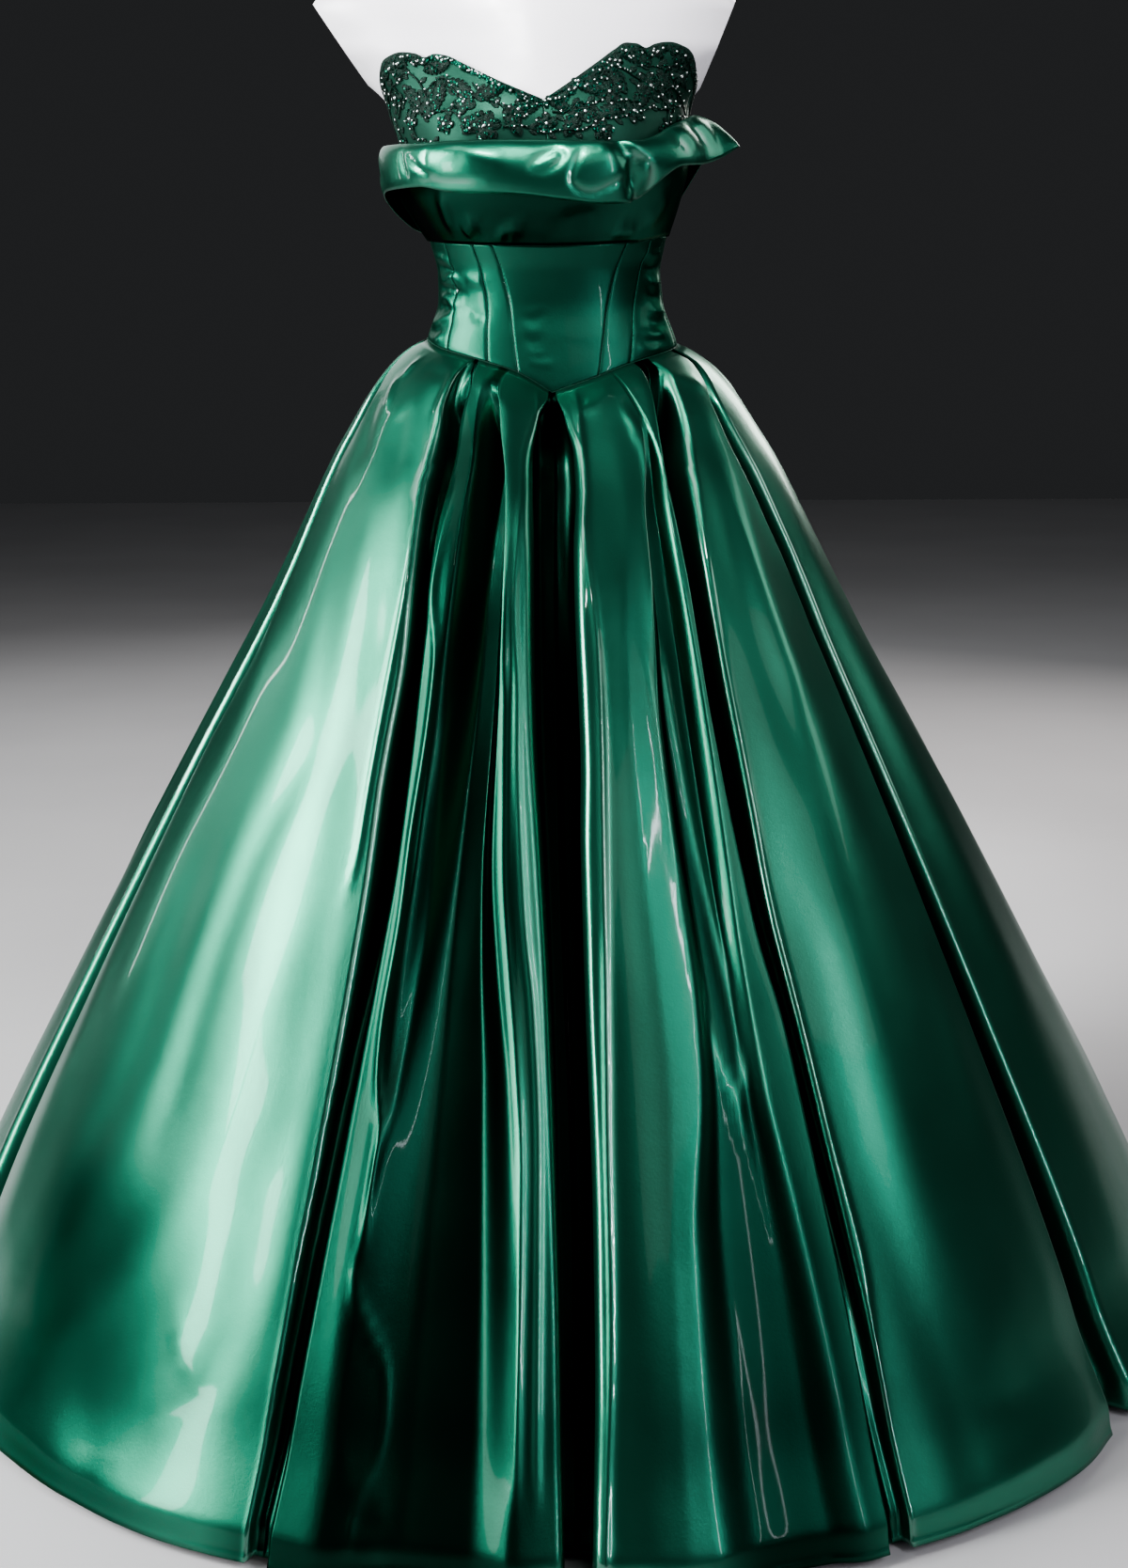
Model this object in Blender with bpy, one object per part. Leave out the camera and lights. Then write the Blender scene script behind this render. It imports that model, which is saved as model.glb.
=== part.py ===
"""A strapless ball gown on a limbless dress form: corset panels, cups, folded drape band, pleated skirt.

Metres, +Z up, the gown's front faces -Y and the origin is on the floor under the pole. An azimuth is
measured from the front towards +X, in degrees. Left and right are the wearer's, so left is +X.
"""

from collections import namedtuple

import bmesh
import bpy
import numpy as np
from mathutils import Vector

# Walls and gaps
CORSET_WALL = 0.0024
DRAPE_WALL = 0.0016
SKIRT_WALL = 0.0020
SEAM_GAP = 0.0006  # between pieces that are sewn together
FORM_GAP = 0.0011  # between the form and the cloth that it carries
LACE_RISE = 0.0012
EDGE_STAND_OFF = 0.0020  # how far the bodice's high corners stand off the form, from this height up
STAND_OFF_HEIGHTS = (1.315, 1.350)

# The stand, from the floor up
BASE_RADIUS = 0.23
BASE_HEIGHT = 0.014
POLE_RADIUS = 0.017
COLLAR_RADIUS = 0.032
COLLAR_HEIGHT = 0.035
NECK_TOP = 1.585
CAP_HEIGHT = 0.015
CAP_OVERHANG = 0.004
CAP_CHAMFER = 0.002  # under its rim
CAP_ROUNDING = 0.005  # and over it
STAND_EDGE = 0.004
TOUCH_GAP = 0.0003

# The figure that the cloth is fitted to, one row a section. lean is the middle's place along X, and power
# is the section's: 2 is an ellipse, and more is squarer.
Section = namedtuple("Section", "height half_width front back lean power")
FIGURE = (
    Section(0.858, 0.030, 0.028, 0.028, 0.000, 2.2),
    Section(0.862, 0.085, 0.070, 0.075, 0.000, 2.2),
    Section(0.875, 0.120, 0.092, 0.100, 0.000, 2.2),
    Section(0.905, 0.147, 0.106, 0.122, 0.000, 2.2),
    Section(0.950, 0.158, 0.111, 0.130, 0.000, 2.2),
    Section(1.000, 0.153, 0.109, 0.122, -0.001, 2.2),
    Section(1.040, 0.144, 0.104, 0.110, -0.002, 2.2),
    Section(1.080, 0.1335, 0.097, 0.098, -0.003, 2.2),
    Section(1.120, 0.1200, 0.091, 0.088, -0.0035, 2.2),
    Section(1.150, 0.1185, 0.094, 0.087, -0.005, 2.2),
    Section(1.180, 0.1245, 0.103, 0.091, -0.006, 2.2),
    Section(1.220, 0.1360, 0.115, 0.099, -0.008, 2.2),
    Section(1.260, 0.1470, 0.124, 0.107, -0.010, 2.2),
    Section(1.300, 0.1540, 0.124, 0.113, -0.013, 2.2),
    Section(1.325, 0.1620, 0.119, 0.116, -0.015, 2.0),
    Section(1.355, 0.1900, 0.111, 0.119, -0.019, 1.7),
    Section(1.385, 0.2230, 0.101, 0.119, -0.023, 1.6),
    Section(1.420, 0.2300, 0.088, 0.110, -0.029, 1.75),
    Section(1.445, 0.2120, 0.078, 0.101, -0.029, 1.9),
    Section(1.470, 0.1720, 0.070, 0.091, -0.029, 2.1),
    Section(1.495, 0.1150, 0.063, 0.080, -0.029, 2.1),
    Section(1.520, 0.0760, 0.057, 0.068, -0.029, 2.1),
    Section(1.550, 0.0620, 0.053, 0.060, -0.029, 2.1),
    Section(1.585, 0.0600, 0.052, 0.057, -0.029, 2.1),
)
BUST_RISE = 0.014
BUST_HEIGHT = 1.278
BUST_SPREAD = 0.042
BUST_AZIMUTH = 33.0
BUST_SPREAD_DEG = 23.0

# The flat arm plates slope out and up from their lower ends
PLATE_TIP = (0.220, 1.420)  # from the middle, and height
PLATE_FOOT = (0.1560, 1.304)

# Where the gown's pieces end, round the figure
Edge = namedtuple("Edge", "azimuth height")
NECKLINE = (
    Edge(-180, 1.284), Edge(-130, 1.285), Edge(-105, 1.291), Edge(-90, 1.304), Edge(-76, 1.338),
    Edge(-67, 1.367), Edge(-61, 1.372), Edge(-56, 1.370), Edge(-52, 1.3655), Edge(-48, 1.3685),
    Edge(-43, 1.3665), Edge(-35, 1.358), Edge(-18, 1.340), Edge(2.5, 1.3205), Edge(20, 1.343),
    Edge(34, 1.361), Edge(42, 1.372), Edge(48, 1.379), Edge(52, 1.3785), Edge(55, 1.3745),
    Edge(59, 1.379), Edge(64, 1.3815), Edge(69, 1.377), Edge(77, 1.346), Edge(90, 1.308),
    Edge(105, 1.294), Edge(130, 1.286), Edge(180, 1.284),
)
UNDERBUST = (
    Edge(-180, 1.184), Edge(-90, 1.184), Edge(-45, 1.179), Edge(0, 1.1765), Edge(45, 1.180),
    Edge(80, 1.188), Edge(130, 1.186), Edge(180, 1.184),
)
BASQUE = (
    Edge(-180, 1.075), Edge(-120, 1.079), Edge(-88, 1.080), Edge(-60, 1.069), Edge(-36, 1.057),
    Edge(-19, 1.0465), Edge(0, 1.0255), Edge(25, 1.0415), Edge(44, 1.055), Edge(68, 1.066),
    Edge(95, 1.074), Edge(130, 1.075), Edge(180, 1.075),
)

# The corset's seams, which lean in towards the point of the waist
Seam = namedtuple("Seam", "top foot")
CORSET_SEAMS = (
    Seam(-180, -180), Seam(-104, -104), Seam(-62, -60), Seam(-43, -36), Seam(-31.5, -19),
    Seam(45, 26), Seam(62, 43.5), Seam(84, 80), Seam(122, 120), Seam(180, 180),
)
CORSET_PANELS = (
    "corset_back_right", "corset_side_right", "corset_side_front_right", "corset_front_right",
    "corset_centre_front", "corset_front_left", "corset_side_front_left", "corset_side_left",
    "corset_back_left",
)
BODICE_SEAMS = (-180, -78, 2.5, 78, 180)
BODICE_PANELS = ("bodice_back_right", "cup_right", "cup_left", "bodice_back_left")

# The lace's raised leaves: place round the figure and below the neckline, sizes, and turn from upright
Leaf = namedtuple("Leaf", "azimuth below length width turn")
LEAVES = (
    Leaf(-63, 0.014, 0.030, 0.013, 20), Leaf(-59, 0.046, 0.036, 0.014, -35),
    Leaf(-47, 0.012, 0.028, 0.012, 75), Leaf(-46, 0.040, 0.034, 0.014, 10),
    Leaf(-36, 0.026, 0.036, 0.014, -60), Leaf(-28, 0.052, 0.030, 0.013, 40),
    Leaf(-22, 0.014, 0.032, 0.012, 70), Leaf(-12, 0.034, 0.034, 0.014, -25),
    Leaf(-4, 0.012, 0.026, 0.011, 60), Leaf(9, 0.012, 0.026, 0.011, -60),
    Leaf(14, 0.036, 0.034, 0.014, 30), Leaf(24, 0.014, 0.032, 0.013, -65),
    Leaf(31, 0.046, 0.032, 0.014, 70), Leaf(38, 0.022, 0.036, 0.014, -20),
    Leaf(48, 0.052, 0.036, 0.014, 50), Leaf(50, 0.014, 0.030, 0.013, -75),
    Leaf(60, 0.034, 0.034, 0.014, 15), Leaf(67, 0.014, 0.028, 0.012, -40),
)

# The drape's folded section, one row a place round the figure. The under layer leaves the underbust seam
# and swells by bulge; the band turns over at the fold, and the flap comes down to its free edge.
Drape = namedtuple("Drape", "azimuth bulge fold_height fold_out edge_height edge_out")
DRAPE = (
    Drape(-180, 0.0085, 1.277, 0.0125, 1.197, 0.0165),
    Drape(-140, 0.0090, 1.278, 0.0130, 1.194, 0.0170),
    Drape(-116, 0.0100, 1.279, 0.0150, 1.190, 0.0190),
    Drape(-104, 0.0120, 1.280, 0.0175, 1.196, 0.0240),
    Drape(-95, 0.0150, 1.281, 0.0195, 1.210, 0.0310),
    Drape(-86, 0.0180, 1.282, 0.0200, 1.226, 0.0370),
    Drape(-70, 0.0200, 1.281, 0.0190, 1.234, 0.0390),
    Drape(-48, 0.0200, 1.280, 0.0170, 1.2355, 0.0400),
    Drape(-34, 0.0190, 1.280, 0.0160, 1.229, 0.0420),
    Drape(-9, 0.0180, 1.281, 0.0160, 1.2255, 0.0440),
    Drape(8, 0.0180, 1.280, 0.0165, 1.220, 0.0450),
    Drape(21, 0.0160, 1.279, 0.0170, 1.2165, 0.0440),
    Drape(38, 0.0120, 1.281, 0.0165, 1.221, 0.0380),
    Drape(45, 0.0120, 1.286, 0.0160, 1.244, 0.0360),
    Drape(52, 0.0120, 1.294, 0.0155, 1.256, 0.0370),
    Drape(66, 0.0105, 1.306, 0.0150, 1.2600, 0.0400),
    Drape(75, 0.0100, 1.311, 0.0145, 1.268, 0.0490),
    Drape(82, 0.0095, 1.310, 0.0150, 1.281, 0.0640),
    Drape(88, 0.0090, 1.304, 0.0150, 1.277, 0.0360),
    Drape(97, 0.0085, 1.292, 0.0140, 1.252, 0.0220),
    Drape(112, 0.0085, 1.283, 0.0130, 1.214, 0.0175),
    Drape(140, 0.0085, 1.278, 0.0125, 1.199, 0.0165),
    Drape(180, 0.0085, 1.277, 0.0125, 1.197, 0.0165),
)
DRAPE_START = 0.0055  # the middle of the band's wall at its seam, out from the figure
DRAPE_NEAREST = 0.0066  # and the closest that it comes above the seam
TUCK_AZIMUTH = (28, 38)  # at the fold and at the free edge
TUCK_DEPTH = 0.014
TUCK_WIDTH = 0.009
TUCK_RADIUS = 0.15  # turns degrees beside the tuck into metres
TUCK_AT_FOLD = 0.35  # the share of its depth that it already has at the fold

# The skirt: its outer radius at the sides, by height
HEM_HEIGHT = 0.010
HEM_ROLL = 0.009  # how far the hem curls under, from this height down
HEM_ROLL_TOP = 0.042
HEM_FLIP = 0.007  # and how far the cloth kicks out just above it
HEM_FLIP_HEIGHT = 0.060
HEM_FLIP_SPREAD = 0.035
Flare = namedtuple("Flare", "height radius")
FLARE = (
    Flare(0.000, 0.757), Flare(0.090, 0.703), Flare(0.158, 0.672), Flare(0.396, 0.547), Flare(0.437, 0.525),
    Flare(0.629, 0.421), Flare(0.779, 0.337), Flare(0.841, 0.305), Flare(0.881, 0.285), Flare(0.957, 0.246),
    Flare(0.981, 0.231), Flare(1.030, 0.199), Flare(1.060, 0.172), Flare(1.074, 0.152), Flare(1.080, 0.1385),
)
SIDE_SEAM_HEIGHT = 1.080
WAIST_BLEND = 0.16  # how far below the seam the skirt turns from the figure's section to a round one
HIP_ROOM = 0.007  # the least from the figure to a pleat's bottom
PANEL_SAG = 0.012
PANEL_SAG_REACH = 0.055
HIPS = 0.90  # the figure tapers off below here
HIPS_FOOT = 0.86  # the pleats are kept clear of the figure from here up

# A pleat's lips (degrees) and depth (metres) by height, how far outside each lip the cloth starts to turn
# in, as a share of the half width, how far the lips hang over the pleat's foot, and whether two gores are
# seamed in it
Fold = namedtuple("Fold", "height left right depth")
Pleat = namedtuple("Pleat", "folds left_turn right_turn overhang seam")
FRONT_PLEATS = (
    Pleat((Fold(1.07, -86, -83, 0.006), Fold(1.02, -83, -78, 0.028), Fold(0.92, -81, -75.5, 0.050),
           Fold(0.75, -79.5, -74.5, 0.060), Fold(0.50, -78, -73.5, 0.060), Fold(0.25, -76, -71.5, 0.055),
           Fold(0.00, -71.5, -67, 0.045)), 0.8, 1.2, 0.003, True),
    Pleat((Fold(1.05, -43.5, -38, 0.006), Fold(1.01, -37.8, -32.6, 0.022), Fold(0.96, -34.9, -29.7, 0.050),
           Fold(0.90, -32, -28.5, 0.066), Fold(0.82, -29.4, -25.6, 0.075), Fold(0.75, -27.2, -23.8, 0.075),
           Fold(0.67, -26, -22.3, 0.075), Fold(0.56, -24.3, -21, 0.070), Fold(0.40, -23.4, -20.6, 0.060),
           Fold(0.00, -22.5, -20.2, 0.035)), 0.35, 1.1, 0.006, True),
    Pleat((Fold(1.04, -28, -24, 0.003), Fold(1.00, -24, -19.6, 0.020), Fold(0.95, -20, -15, 0.040),
           Fold(0.90, -18.4, -12.9, 0.050), Fold(0.80, -16.6, -11.2, 0.052), Fold(0.70, -15.3, -10.2, 0.048),
           Fold(0.60, -14.8, -9.6, 0.045), Fold(0.50, -14.4, -8.2, 0.040), Fold(0.40, -13.8, -6.6, 0.034),
           Fold(0.20, -13.2, -5.2, 0.026), Fold(0.00, -12.6, -4.8, 0.016)), 1.2, 0.6, 0.0, False),
    Pleat((Fold(1.02, -1.4, 1.4, 0.004), Fold(1.00, -4.8, 4.2, 0.026), Fold(0.965, -5.7, 5.8, 0.045),
           Fold(0.93, -4.9, 5.5, 0.060), Fold(0.88, -4, 4.1, 0.080), Fold(0.79, -3.1, 3.6, 0.085),
           Fold(0.70, -2.2, 3.6, 0.085), Fold(0.60, -1.2, 3.2, 0.085), Fold(0.50, -0.4, 3.2, 0.085),
           Fold(0.35, 0.3, 3.3, 0.080), Fold(0.20, 0.6, 3.1, 0.072), Fold(0.00, 0.6, 2.4, 0.055)),
          0.8, 0.7, 0.006, True),
    Pleat((Fold(1.00, 31.5, 33, 0.001), Fold(0.96, 27.8, 31.6, 0.010), Fold(0.91, 23.2, 28.4, 0.016),
           Fold(0.85, 20.9, 26.5, 0.020), Fold(0.78, 19, 25.2, 0.022), Fold(0.70, 17.2, 23.8, 0.022),
           Fold(0.60, 16.6, 22.4, 0.020), Fold(0.50, 16.4, 21.4, 0.016), Fold(0.40, 15.5, 21, 0.013),
           Fold(0.28, 13.4, 21.4, 0.013), Fold(0.10, 12.8, 21.6, 0.012), Fold(0.00, 12.8, 21.6, 0.010)),
          0.4, 0.3, 0.0, False),
    Pleat((Fold(1.052, 46, 52.5, 0.006), Fold(1.025, 41, 48.6, 0.020), Fold(0.985, 35.8, 44.2, 0.036),
           Fold(0.95, 32.8, 39.6, 0.050), Fold(0.90, 30.4, 35.6, 0.066), Fold(0.85, 29, 33, 0.073),
           Fold(0.78, 27.3, 30.8, 0.075), Fold(0.71, 26, 29.2, 0.072), Fold(0.63, 25.2, 28, 0.066),
           Fold(0.53, 24.9, 27, 0.060), Fold(0.44, 25.6, 27.2, 0.052), Fold(0.30, 25.4, 27, 0.042),
           Fold(0.00, 24.4, 26.2, 0.028)), 0.35, 0.7, 0.004, True),
    Pleat((Fold(1.055, 71, 73.5, 0.004), Fold(1.01, 60.8, 64, 0.018), Fold(0.96, 58.2, 62, 0.030),
           Fold(0.90, 58, 61.6, 0.034), Fold(0.85, 58.4, 61.8, 0.036), Fold(0.77, 57.6, 60.6, 0.038),
           Fold(0.62, 55.4, 58, 0.040), Fold(0.40, 53.3, 55.8, 0.040), Fold(0.00, 50.3, 52.8, 0.035)),
          0.6, 1.4, 0.004, True),
)
# The pleats that fall behind, each from its place at the waist to its place at the hem
BackPleat = namedtuple("BackPleat", "waist hem half_width depth left_turn right_turn overhang seam")
BACK_PLEATS = (
    BackPleat(106, 99, 0.017, 0.055, 1.2, 0.5, 0.004, False),
    BackPleat(128, 126, 0.020, 0.065, 0.5, 0.9, 0.005, True),
    BackPleat(151, 153, 0.016, 0.050, 0.9, 0.5, 0.003, False),
    BackPleat(180, 180, 0.022, 0.085, 0.35, 0.35, 0.006, True),
    BackPleat(-149, -148, 0.018, 0.055, 0.5, 1.0, 0.004, False),
    BackPleat(-120, -111, 0.020, 0.065, 0.9, 0.5, 0.005, True),
)
GORE_NAMES = (
    "skirt_back_right", "skirt_side_right", "skirt_front_outer_right", "skirt_front_inner_right",
    "skirt_front_inner_left", "skirt_front_outer_left", "skirt_side_left", "skirt_back_left",
)

# How finely the solids are cut
SKIRT_DROPS = (0, 0.013, 0.038, 0.075, 0.12, 0.18, 0.26, 0.38, 0.53, 0.70, 0.86, 0.955, 1.0)
PLEAT_FOOT = 0.55  # where a pleat's wall meets its bottom, as a share of the half width
PLEAT_STEPS = (PLEAT_FOOT, 0.95)  # then the end of the lip's turn
PANEL_STEP_DEG = 9.0
CORSET_STEP_DEG = 7.5
CORSET_ROWS = 6
CUP_STEP_DEG = 3.8
SIDE_BACK_STEP_DEG = 6.8
CUP_ROWS = (0, 0.16, 0.3, 0.42, 0.52, 0.6, 0.67, 0.74, 0.8, 0.87, 0.93, 1)
SIDE_BACK_ROWS = (0, 0.2, 0.4, 0.55, 0.68, 0.79, 0.9, 1)
TORSO_COLUMNS = 32
# The torso's rings lie closer where the cloth on it curves: the step from each height up
TORSO_STEPS = ((0.905, 0.032), (1.03, 0.014), (1.20, 0.02), (1.28, 0.012), (1.40, 0.02), (NECK_TOP, 0.0))
ROUND_SIDES = 28


def rising_slopes(xs, ys):
    """Slopes for a smooth curve through the points that never swings past them."""
    runs = np.diff(xs)
    steps = np.diff(ys) / runs
    slopes = np.empty(len(xs))
    slopes[0], slopes[-1] = steps[0], steps[-1]
    for i in range(1, len(xs) - 1):
        before, after = steps[i - 1], steps[i]
        if before * after <= 0:
            slopes[i] = 0
        else:
            w1, w2 = 2 * runs[i] + runs[i - 1], runs[i] + 2 * runs[i - 1]
            slopes[i] = (w1 + w2) / (w1 / before + w2 / after)
    return slopes


def smooth(x, xs, ys):
    """The value at x of the smooth curve through the points (xs, ys), held level past its ends."""
    xs, ys = np.asarray(xs, float), np.asarray(ys, float)
    if xs[0] > xs[-1]:
        xs, ys = xs[::-1], ys[::-1]
    slopes = rising_slopes(xs, ys)
    x = np.clip(x, xs[0], xs[-1])
    i = np.clip(np.searchsorted(xs, x, side="right") - 1, 0, len(xs) - 2)
    run = xs[i + 1] - xs[i]
    t = (x - xs[i]) / run
    return (
        (1 + 2 * t) * (1 - t) ** 2 * ys[i]
        + t * (1 - t) ** 2 * run * slopes[i]
        + t**2 * (3 - 2 * t) * ys[i + 1]
        + t**2 * (t - 1) * run * slopes[i + 1]
    )


def column(rows, name):
    return np.array([getattr(row, name) for row in rows], float)


def table(rows, name, at, key="height"):
    return smooth(at, column(rows, key), column(rows, name))


def ease(t):
    """0 to 1 with level ends."""
    t = np.clip(t, 0, 1)
    return t * t * (3 - 2 * t)


def wrapped(degrees):
    return (np.asarray(degrees, float) + 180) % 360 - 180


def edge_height(edges, azimuth, corner=None):
    """The height of an edge at each azimuth. At its corner the edge comes to a point."""
    if corner is None:
        return table(edges, "height", azimuth, "azimuth")
    right = [edge for edge in edges if edge.azimuth <= corner]
    left = [edge for edge in edges if edge.azimuth >= corner]
    return np.where(
        np.asarray(azimuth) < corner,
        table(right, "height", azimuth, "azimuth"),
        table(left, "height", azimuth, "azimuth"),
    )


def neckline(azimuth):
    return edge_height(NECKLINE, azimuth, corner=2.5)


def underbust(azimuth):
    return edge_height(UNDERBUST, azimuth)


def basque(azimuth):
    return edge_height(BASQUE, azimuth, corner=0)


def figure_radius(azimuth, height):
    """From the middle of the figure's section to its surface."""
    angle = np.radians(azimuth)
    across = np.abs(np.sin(angle)) / table(FIGURE, "half_width", height)
    depth = np.where(np.cos(angle) > 0, table(FIGURE, "front", height), table(FIGURE, "back", height))
    along = np.abs(np.cos(angle)) / depth
    power = table(FIGURE, "power", height)
    radius = (across**power + along**power) ** (-1 / power)
    up = np.exp(-(((height - BUST_HEIGHT) / BUST_SPREAD) ** 2))
    for side in (-1, 1):
        round_it = np.exp(-(((wrapped(azimuth) - side * BUST_AZIMUTH) / BUST_SPREAD_DEG) ** 2))
        radius = radius + BUST_RISE * up * round_it
    return radius


def polar(azimuth, radius, height, lean=0.0):
    """Points at a distance from the upright line through (lean, 0)."""
    angle = np.radians(azimuth)
    azimuth, radius, height, lean = np.broadcast_arrays(angle, radius, height, lean)
    return np.stack([lean + radius * np.sin(azimuth), -radius * np.cos(azimuth), height], axis=-1)


def on_figure(azimuth, height, out):
    radius = figure_radius(azimuth, height) + out
    return polar(azimuth, radius, height, table(FIGURE, "lean", height))


def material(name, colour, roughness, metallic=0.0):
    made = bpy.data.materials.new(name)
    made.use_nodes = True
    shader = made.node_tree.nodes["Principled BSDF"]
    shader.inputs["Base Color"].default_value = (*colour, 1)
    shader.inputs["Roughness"].default_value = roughness
    shader.inputs["Metallic"].default_value = metallic
    return made


def add_object(name, mesh, paint):
    mesh.shade_smooth()
    mesh.set_sharp_from_angle(angle=np.radians(50))
    obj = bpy.data.objects.new(name, mesh)
    mesh.materials.append(paint)
    bpy.context.collection.objects.link(obj)
    return obj


def add_wall(name, inner, outer, paint):
    """A closed wall between two grids of points, rows by columns. A row runs towards +X at the front, and
    across it the rows run so that row direction x step direction faces out of the outer grid."""
    rows, columns = inner.shape[:2]
    points = np.concatenate([outer.reshape(-1, 3), inner.reshape(-1, 3)])
    under = rows * columns
    faces = []
    for i in range(rows - 1):
        for j in range(columns - 1):
            a, b = i * columns + j, i * columns + j + 1
            c, d = b + columns, a + columns
            faces.append((a, b, c, d))
            faces.append((under + d, under + c, under + b, under + a))
    last = (rows - 1) * columns
    for j in range(columns - 1):
        faces.append((j + 1, j, under + j, under + j + 1))
        faces.append((last + j, last + j + 1, under + last + j + 1, under + last + j))
    for i in range(rows - 1):
        a, b = i * columns, (i + 1) * columns
        faces.append((a, b, under + b, under + a))
        a, b = a + columns - 1, b + columns - 1
        faces.append((b, a, under + a, under + b))
    mesh = bpy.data.meshes.new(name)
    mesh.from_pydata(points.tolist(), [], faces)
    return add_object(name, mesh, paint)


def grid_normals(points):
    """Unit normals of a grid, facing out where a row runs towards +X at the front and rows go up."""
    along = np.gradient(points, axis=1)
    across = np.gradient(points, axis=0)
    normal = np.cross(along, across)
    return normal / np.linalg.norm(normal, axis=-1, keepdims=True)


def drawn_in(points, gap):
    """The grid with its first and last columns moved in by a gap, to part it from the next panel."""
    points = points.copy()
    for edge, inside in ((0, 1), (-1, -2)):
        step = points[:, inside] - points[:, edge]
        points[:, edge] += step * gap / np.linalg.norm(step, axis=-1, keepdims=True)
    return points


def steps_between(start, end, step):
    return np.linspace(start, end, max(2, int(np.ceil((end - start) / step)) + 1))


def corset(paint):
    """Nine panels between the basque seam and the underbust seam."""
    for name, right, left in zip(CORSET_PANELS, CORSET_SEAMS, CORSET_SEAMS[1:]):
        share = np.linspace(0, 1, len(steps_between(right.top, left.top, CORSET_STEP_DEG)))
        up = np.linspace(0, 1, CORSET_ROWS)[:, None]
        start = right.foot + (right.top - right.foot) * up
        end = left.foot + (left.top - left.foot) * up
        azimuth = start + (end - start) * share
        foot = basque(azimuth) + SEAM_GAP / 2
        height = foot + (underbust(azimuth) - SEAM_GAP / 2 - foot) * up
        inner = drawn_in(on_figure(azimuth, height, FORM_GAP), SEAM_GAP / 2)
        outer = drawn_in(on_figure(azimuth, height, FORM_GAP + CORSET_WALL), SEAM_GAP / 2)
        add_wall(name, inner, outer, paint)


def lace_rise(azimuth, height):
    """How far the lace's leaves stand up from the cloth, from 0 to 1."""
    rise = np.zeros_like(azimuth)
    radius = figure_radius(azimuth, height)
    for leaf in LEAVES:
        across = np.radians(azimuth - leaf.azimuth) * radius
        up = height - (neckline(leaf.azimuth) - leaf.below)
        turn = np.radians(leaf.turn)
        along = across * np.sin(turn) + up * np.cos(turn)
        beside = across * np.cos(turn) - up * np.sin(turn)
        far = (2 * along / leaf.length) ** 2 + (2 * beside / leaf.width) ** 2
        rise = np.maximum(rise, ease(1.4 * (1.15 - far)))
    return rise


def upper_bodice(paint):
    """Two cups with raised lace, and two pieces that meet at the centre back."""
    for name, right, left in zip(BODICE_PANELS, BODICE_SEAMS, BODICE_SEAMS[1:]):
        cup = name.startswith("cup")
        ups = CUP_ROWS if cup else SIDE_BACK_ROWS
        azimuth = steps_between(right, left, CUP_STEP_DEG if cup else SIDE_BACK_STEP_DEG)
        foot = underbust(azimuth) + SEAM_GAP / 2
        height = foot + (neckline(azimuth) - foot) * np.array(ups)[:, None]
        azimuth = np.broadcast_to(azimuth, height.shape)
        rise = LACE_RISE * lace_rise(azimuth, height) if cup else 0
        low, high = STAND_OFF_HEIGHTS
        out = FORM_GAP + EDGE_STAND_OFF * ease((height - low) / (high - low))
        inner = drawn_in(on_figure(azimuth, height, out), SEAM_GAP / 2)
        outer = drawn_in(on_figure(azimuth, height, out + CORSET_WALL + rise), SEAM_GAP / 2)
        add_wall(name, inner, outer, paint)


def drape_section(azimuth):
    """The folded band's section at each azimuth, as (out, height) pairs from the seam to the free edge."""
    bulge, fold_height, fold_out, free_height, edge_out = (
        table(DRAPE, name, azimuth, "azimuth") for name in Drape._fields[1:]
    )
    seam = underbust(azimuth) + SEAM_GAP
    rise = fold_height - seam
    drop = fold_height - free_height
    reach = edge_out - fold_out
    tight = np.maximum(DRAPE_NEAREST, fold_out - 0.005)
    outs = (
        DRAPE_START + 0 * azimuth,
        DRAPE_START + 0.55 * (bulge - DRAPE_START),
        bulge,
        np.maximum(tight, 0.5 * (bulge + tight)),
        tight,
        fold_out,
        fold_out + 0.30 * reach + 0.0025,
        fold_out + 0.62 * reach + 0.0030,
        edge_out,
    )
    heights = (
        seam,
        seam + 0.20 * rise,
        seam + 0.45 * rise,
        seam + 0.68 * rise,
        fold_height - 0.012,
        fold_height,
        fold_height - 0.16 * drop,
        fold_height - 0.55 * drop,
        free_height,
    )
    return np.array(outs), np.array(heights)


def tuck(azimuth, outs, heights):
    """The deep crease that pinches the flap, from the fold down to the free edge."""
    flap = np.arange(len(outs)) >= 4
    share = np.clip((heights[5] - heights) / np.maximum(heights[5] - heights[-1], 1e-6), 0, 1)
    middle = TUCK_AZIMUTH[0] + (TUCK_AZIMUTH[1] - TUCK_AZIMUTH[0]) * share
    aside = np.radians(azimuth - middle) * TUCK_RADIUS
    pinch = TUCK_DEPTH * np.exp(-((aside / TUCK_WIDTH) ** 2)) * flap[:, None]
    pinch *= np.clip(TUCK_AT_FOLD + share, 0, 1)
    return np.where(flap[:, None], np.maximum(outs - pinch, DRAPE_NEAREST), outs)


def drape(paint):
    """The folded band round the bust, parted at the centre back."""
    azimuth = np.concatenate([
        np.linspace(-180, -116, 7), np.linspace(-109, -60, 8), np.linspace(-51, 12, 8),
        np.linspace(18, 52, 12), np.linspace(57, 97, 10), np.linspace(106, 180, 8),
    ])
    outs, heights = drape_section(azimuth)
    outs = tuck(azimuth, outs, heights)
    middle = drawn_in(on_figure(azimuth, heights, outs), SEAM_GAP / 2)
    normal = grid_normals(middle)
    add_wall("drape_band", middle - normal * DRAPE_WALL / 2, middle + normal * DRAPE_WALL / 2, paint)


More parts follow.
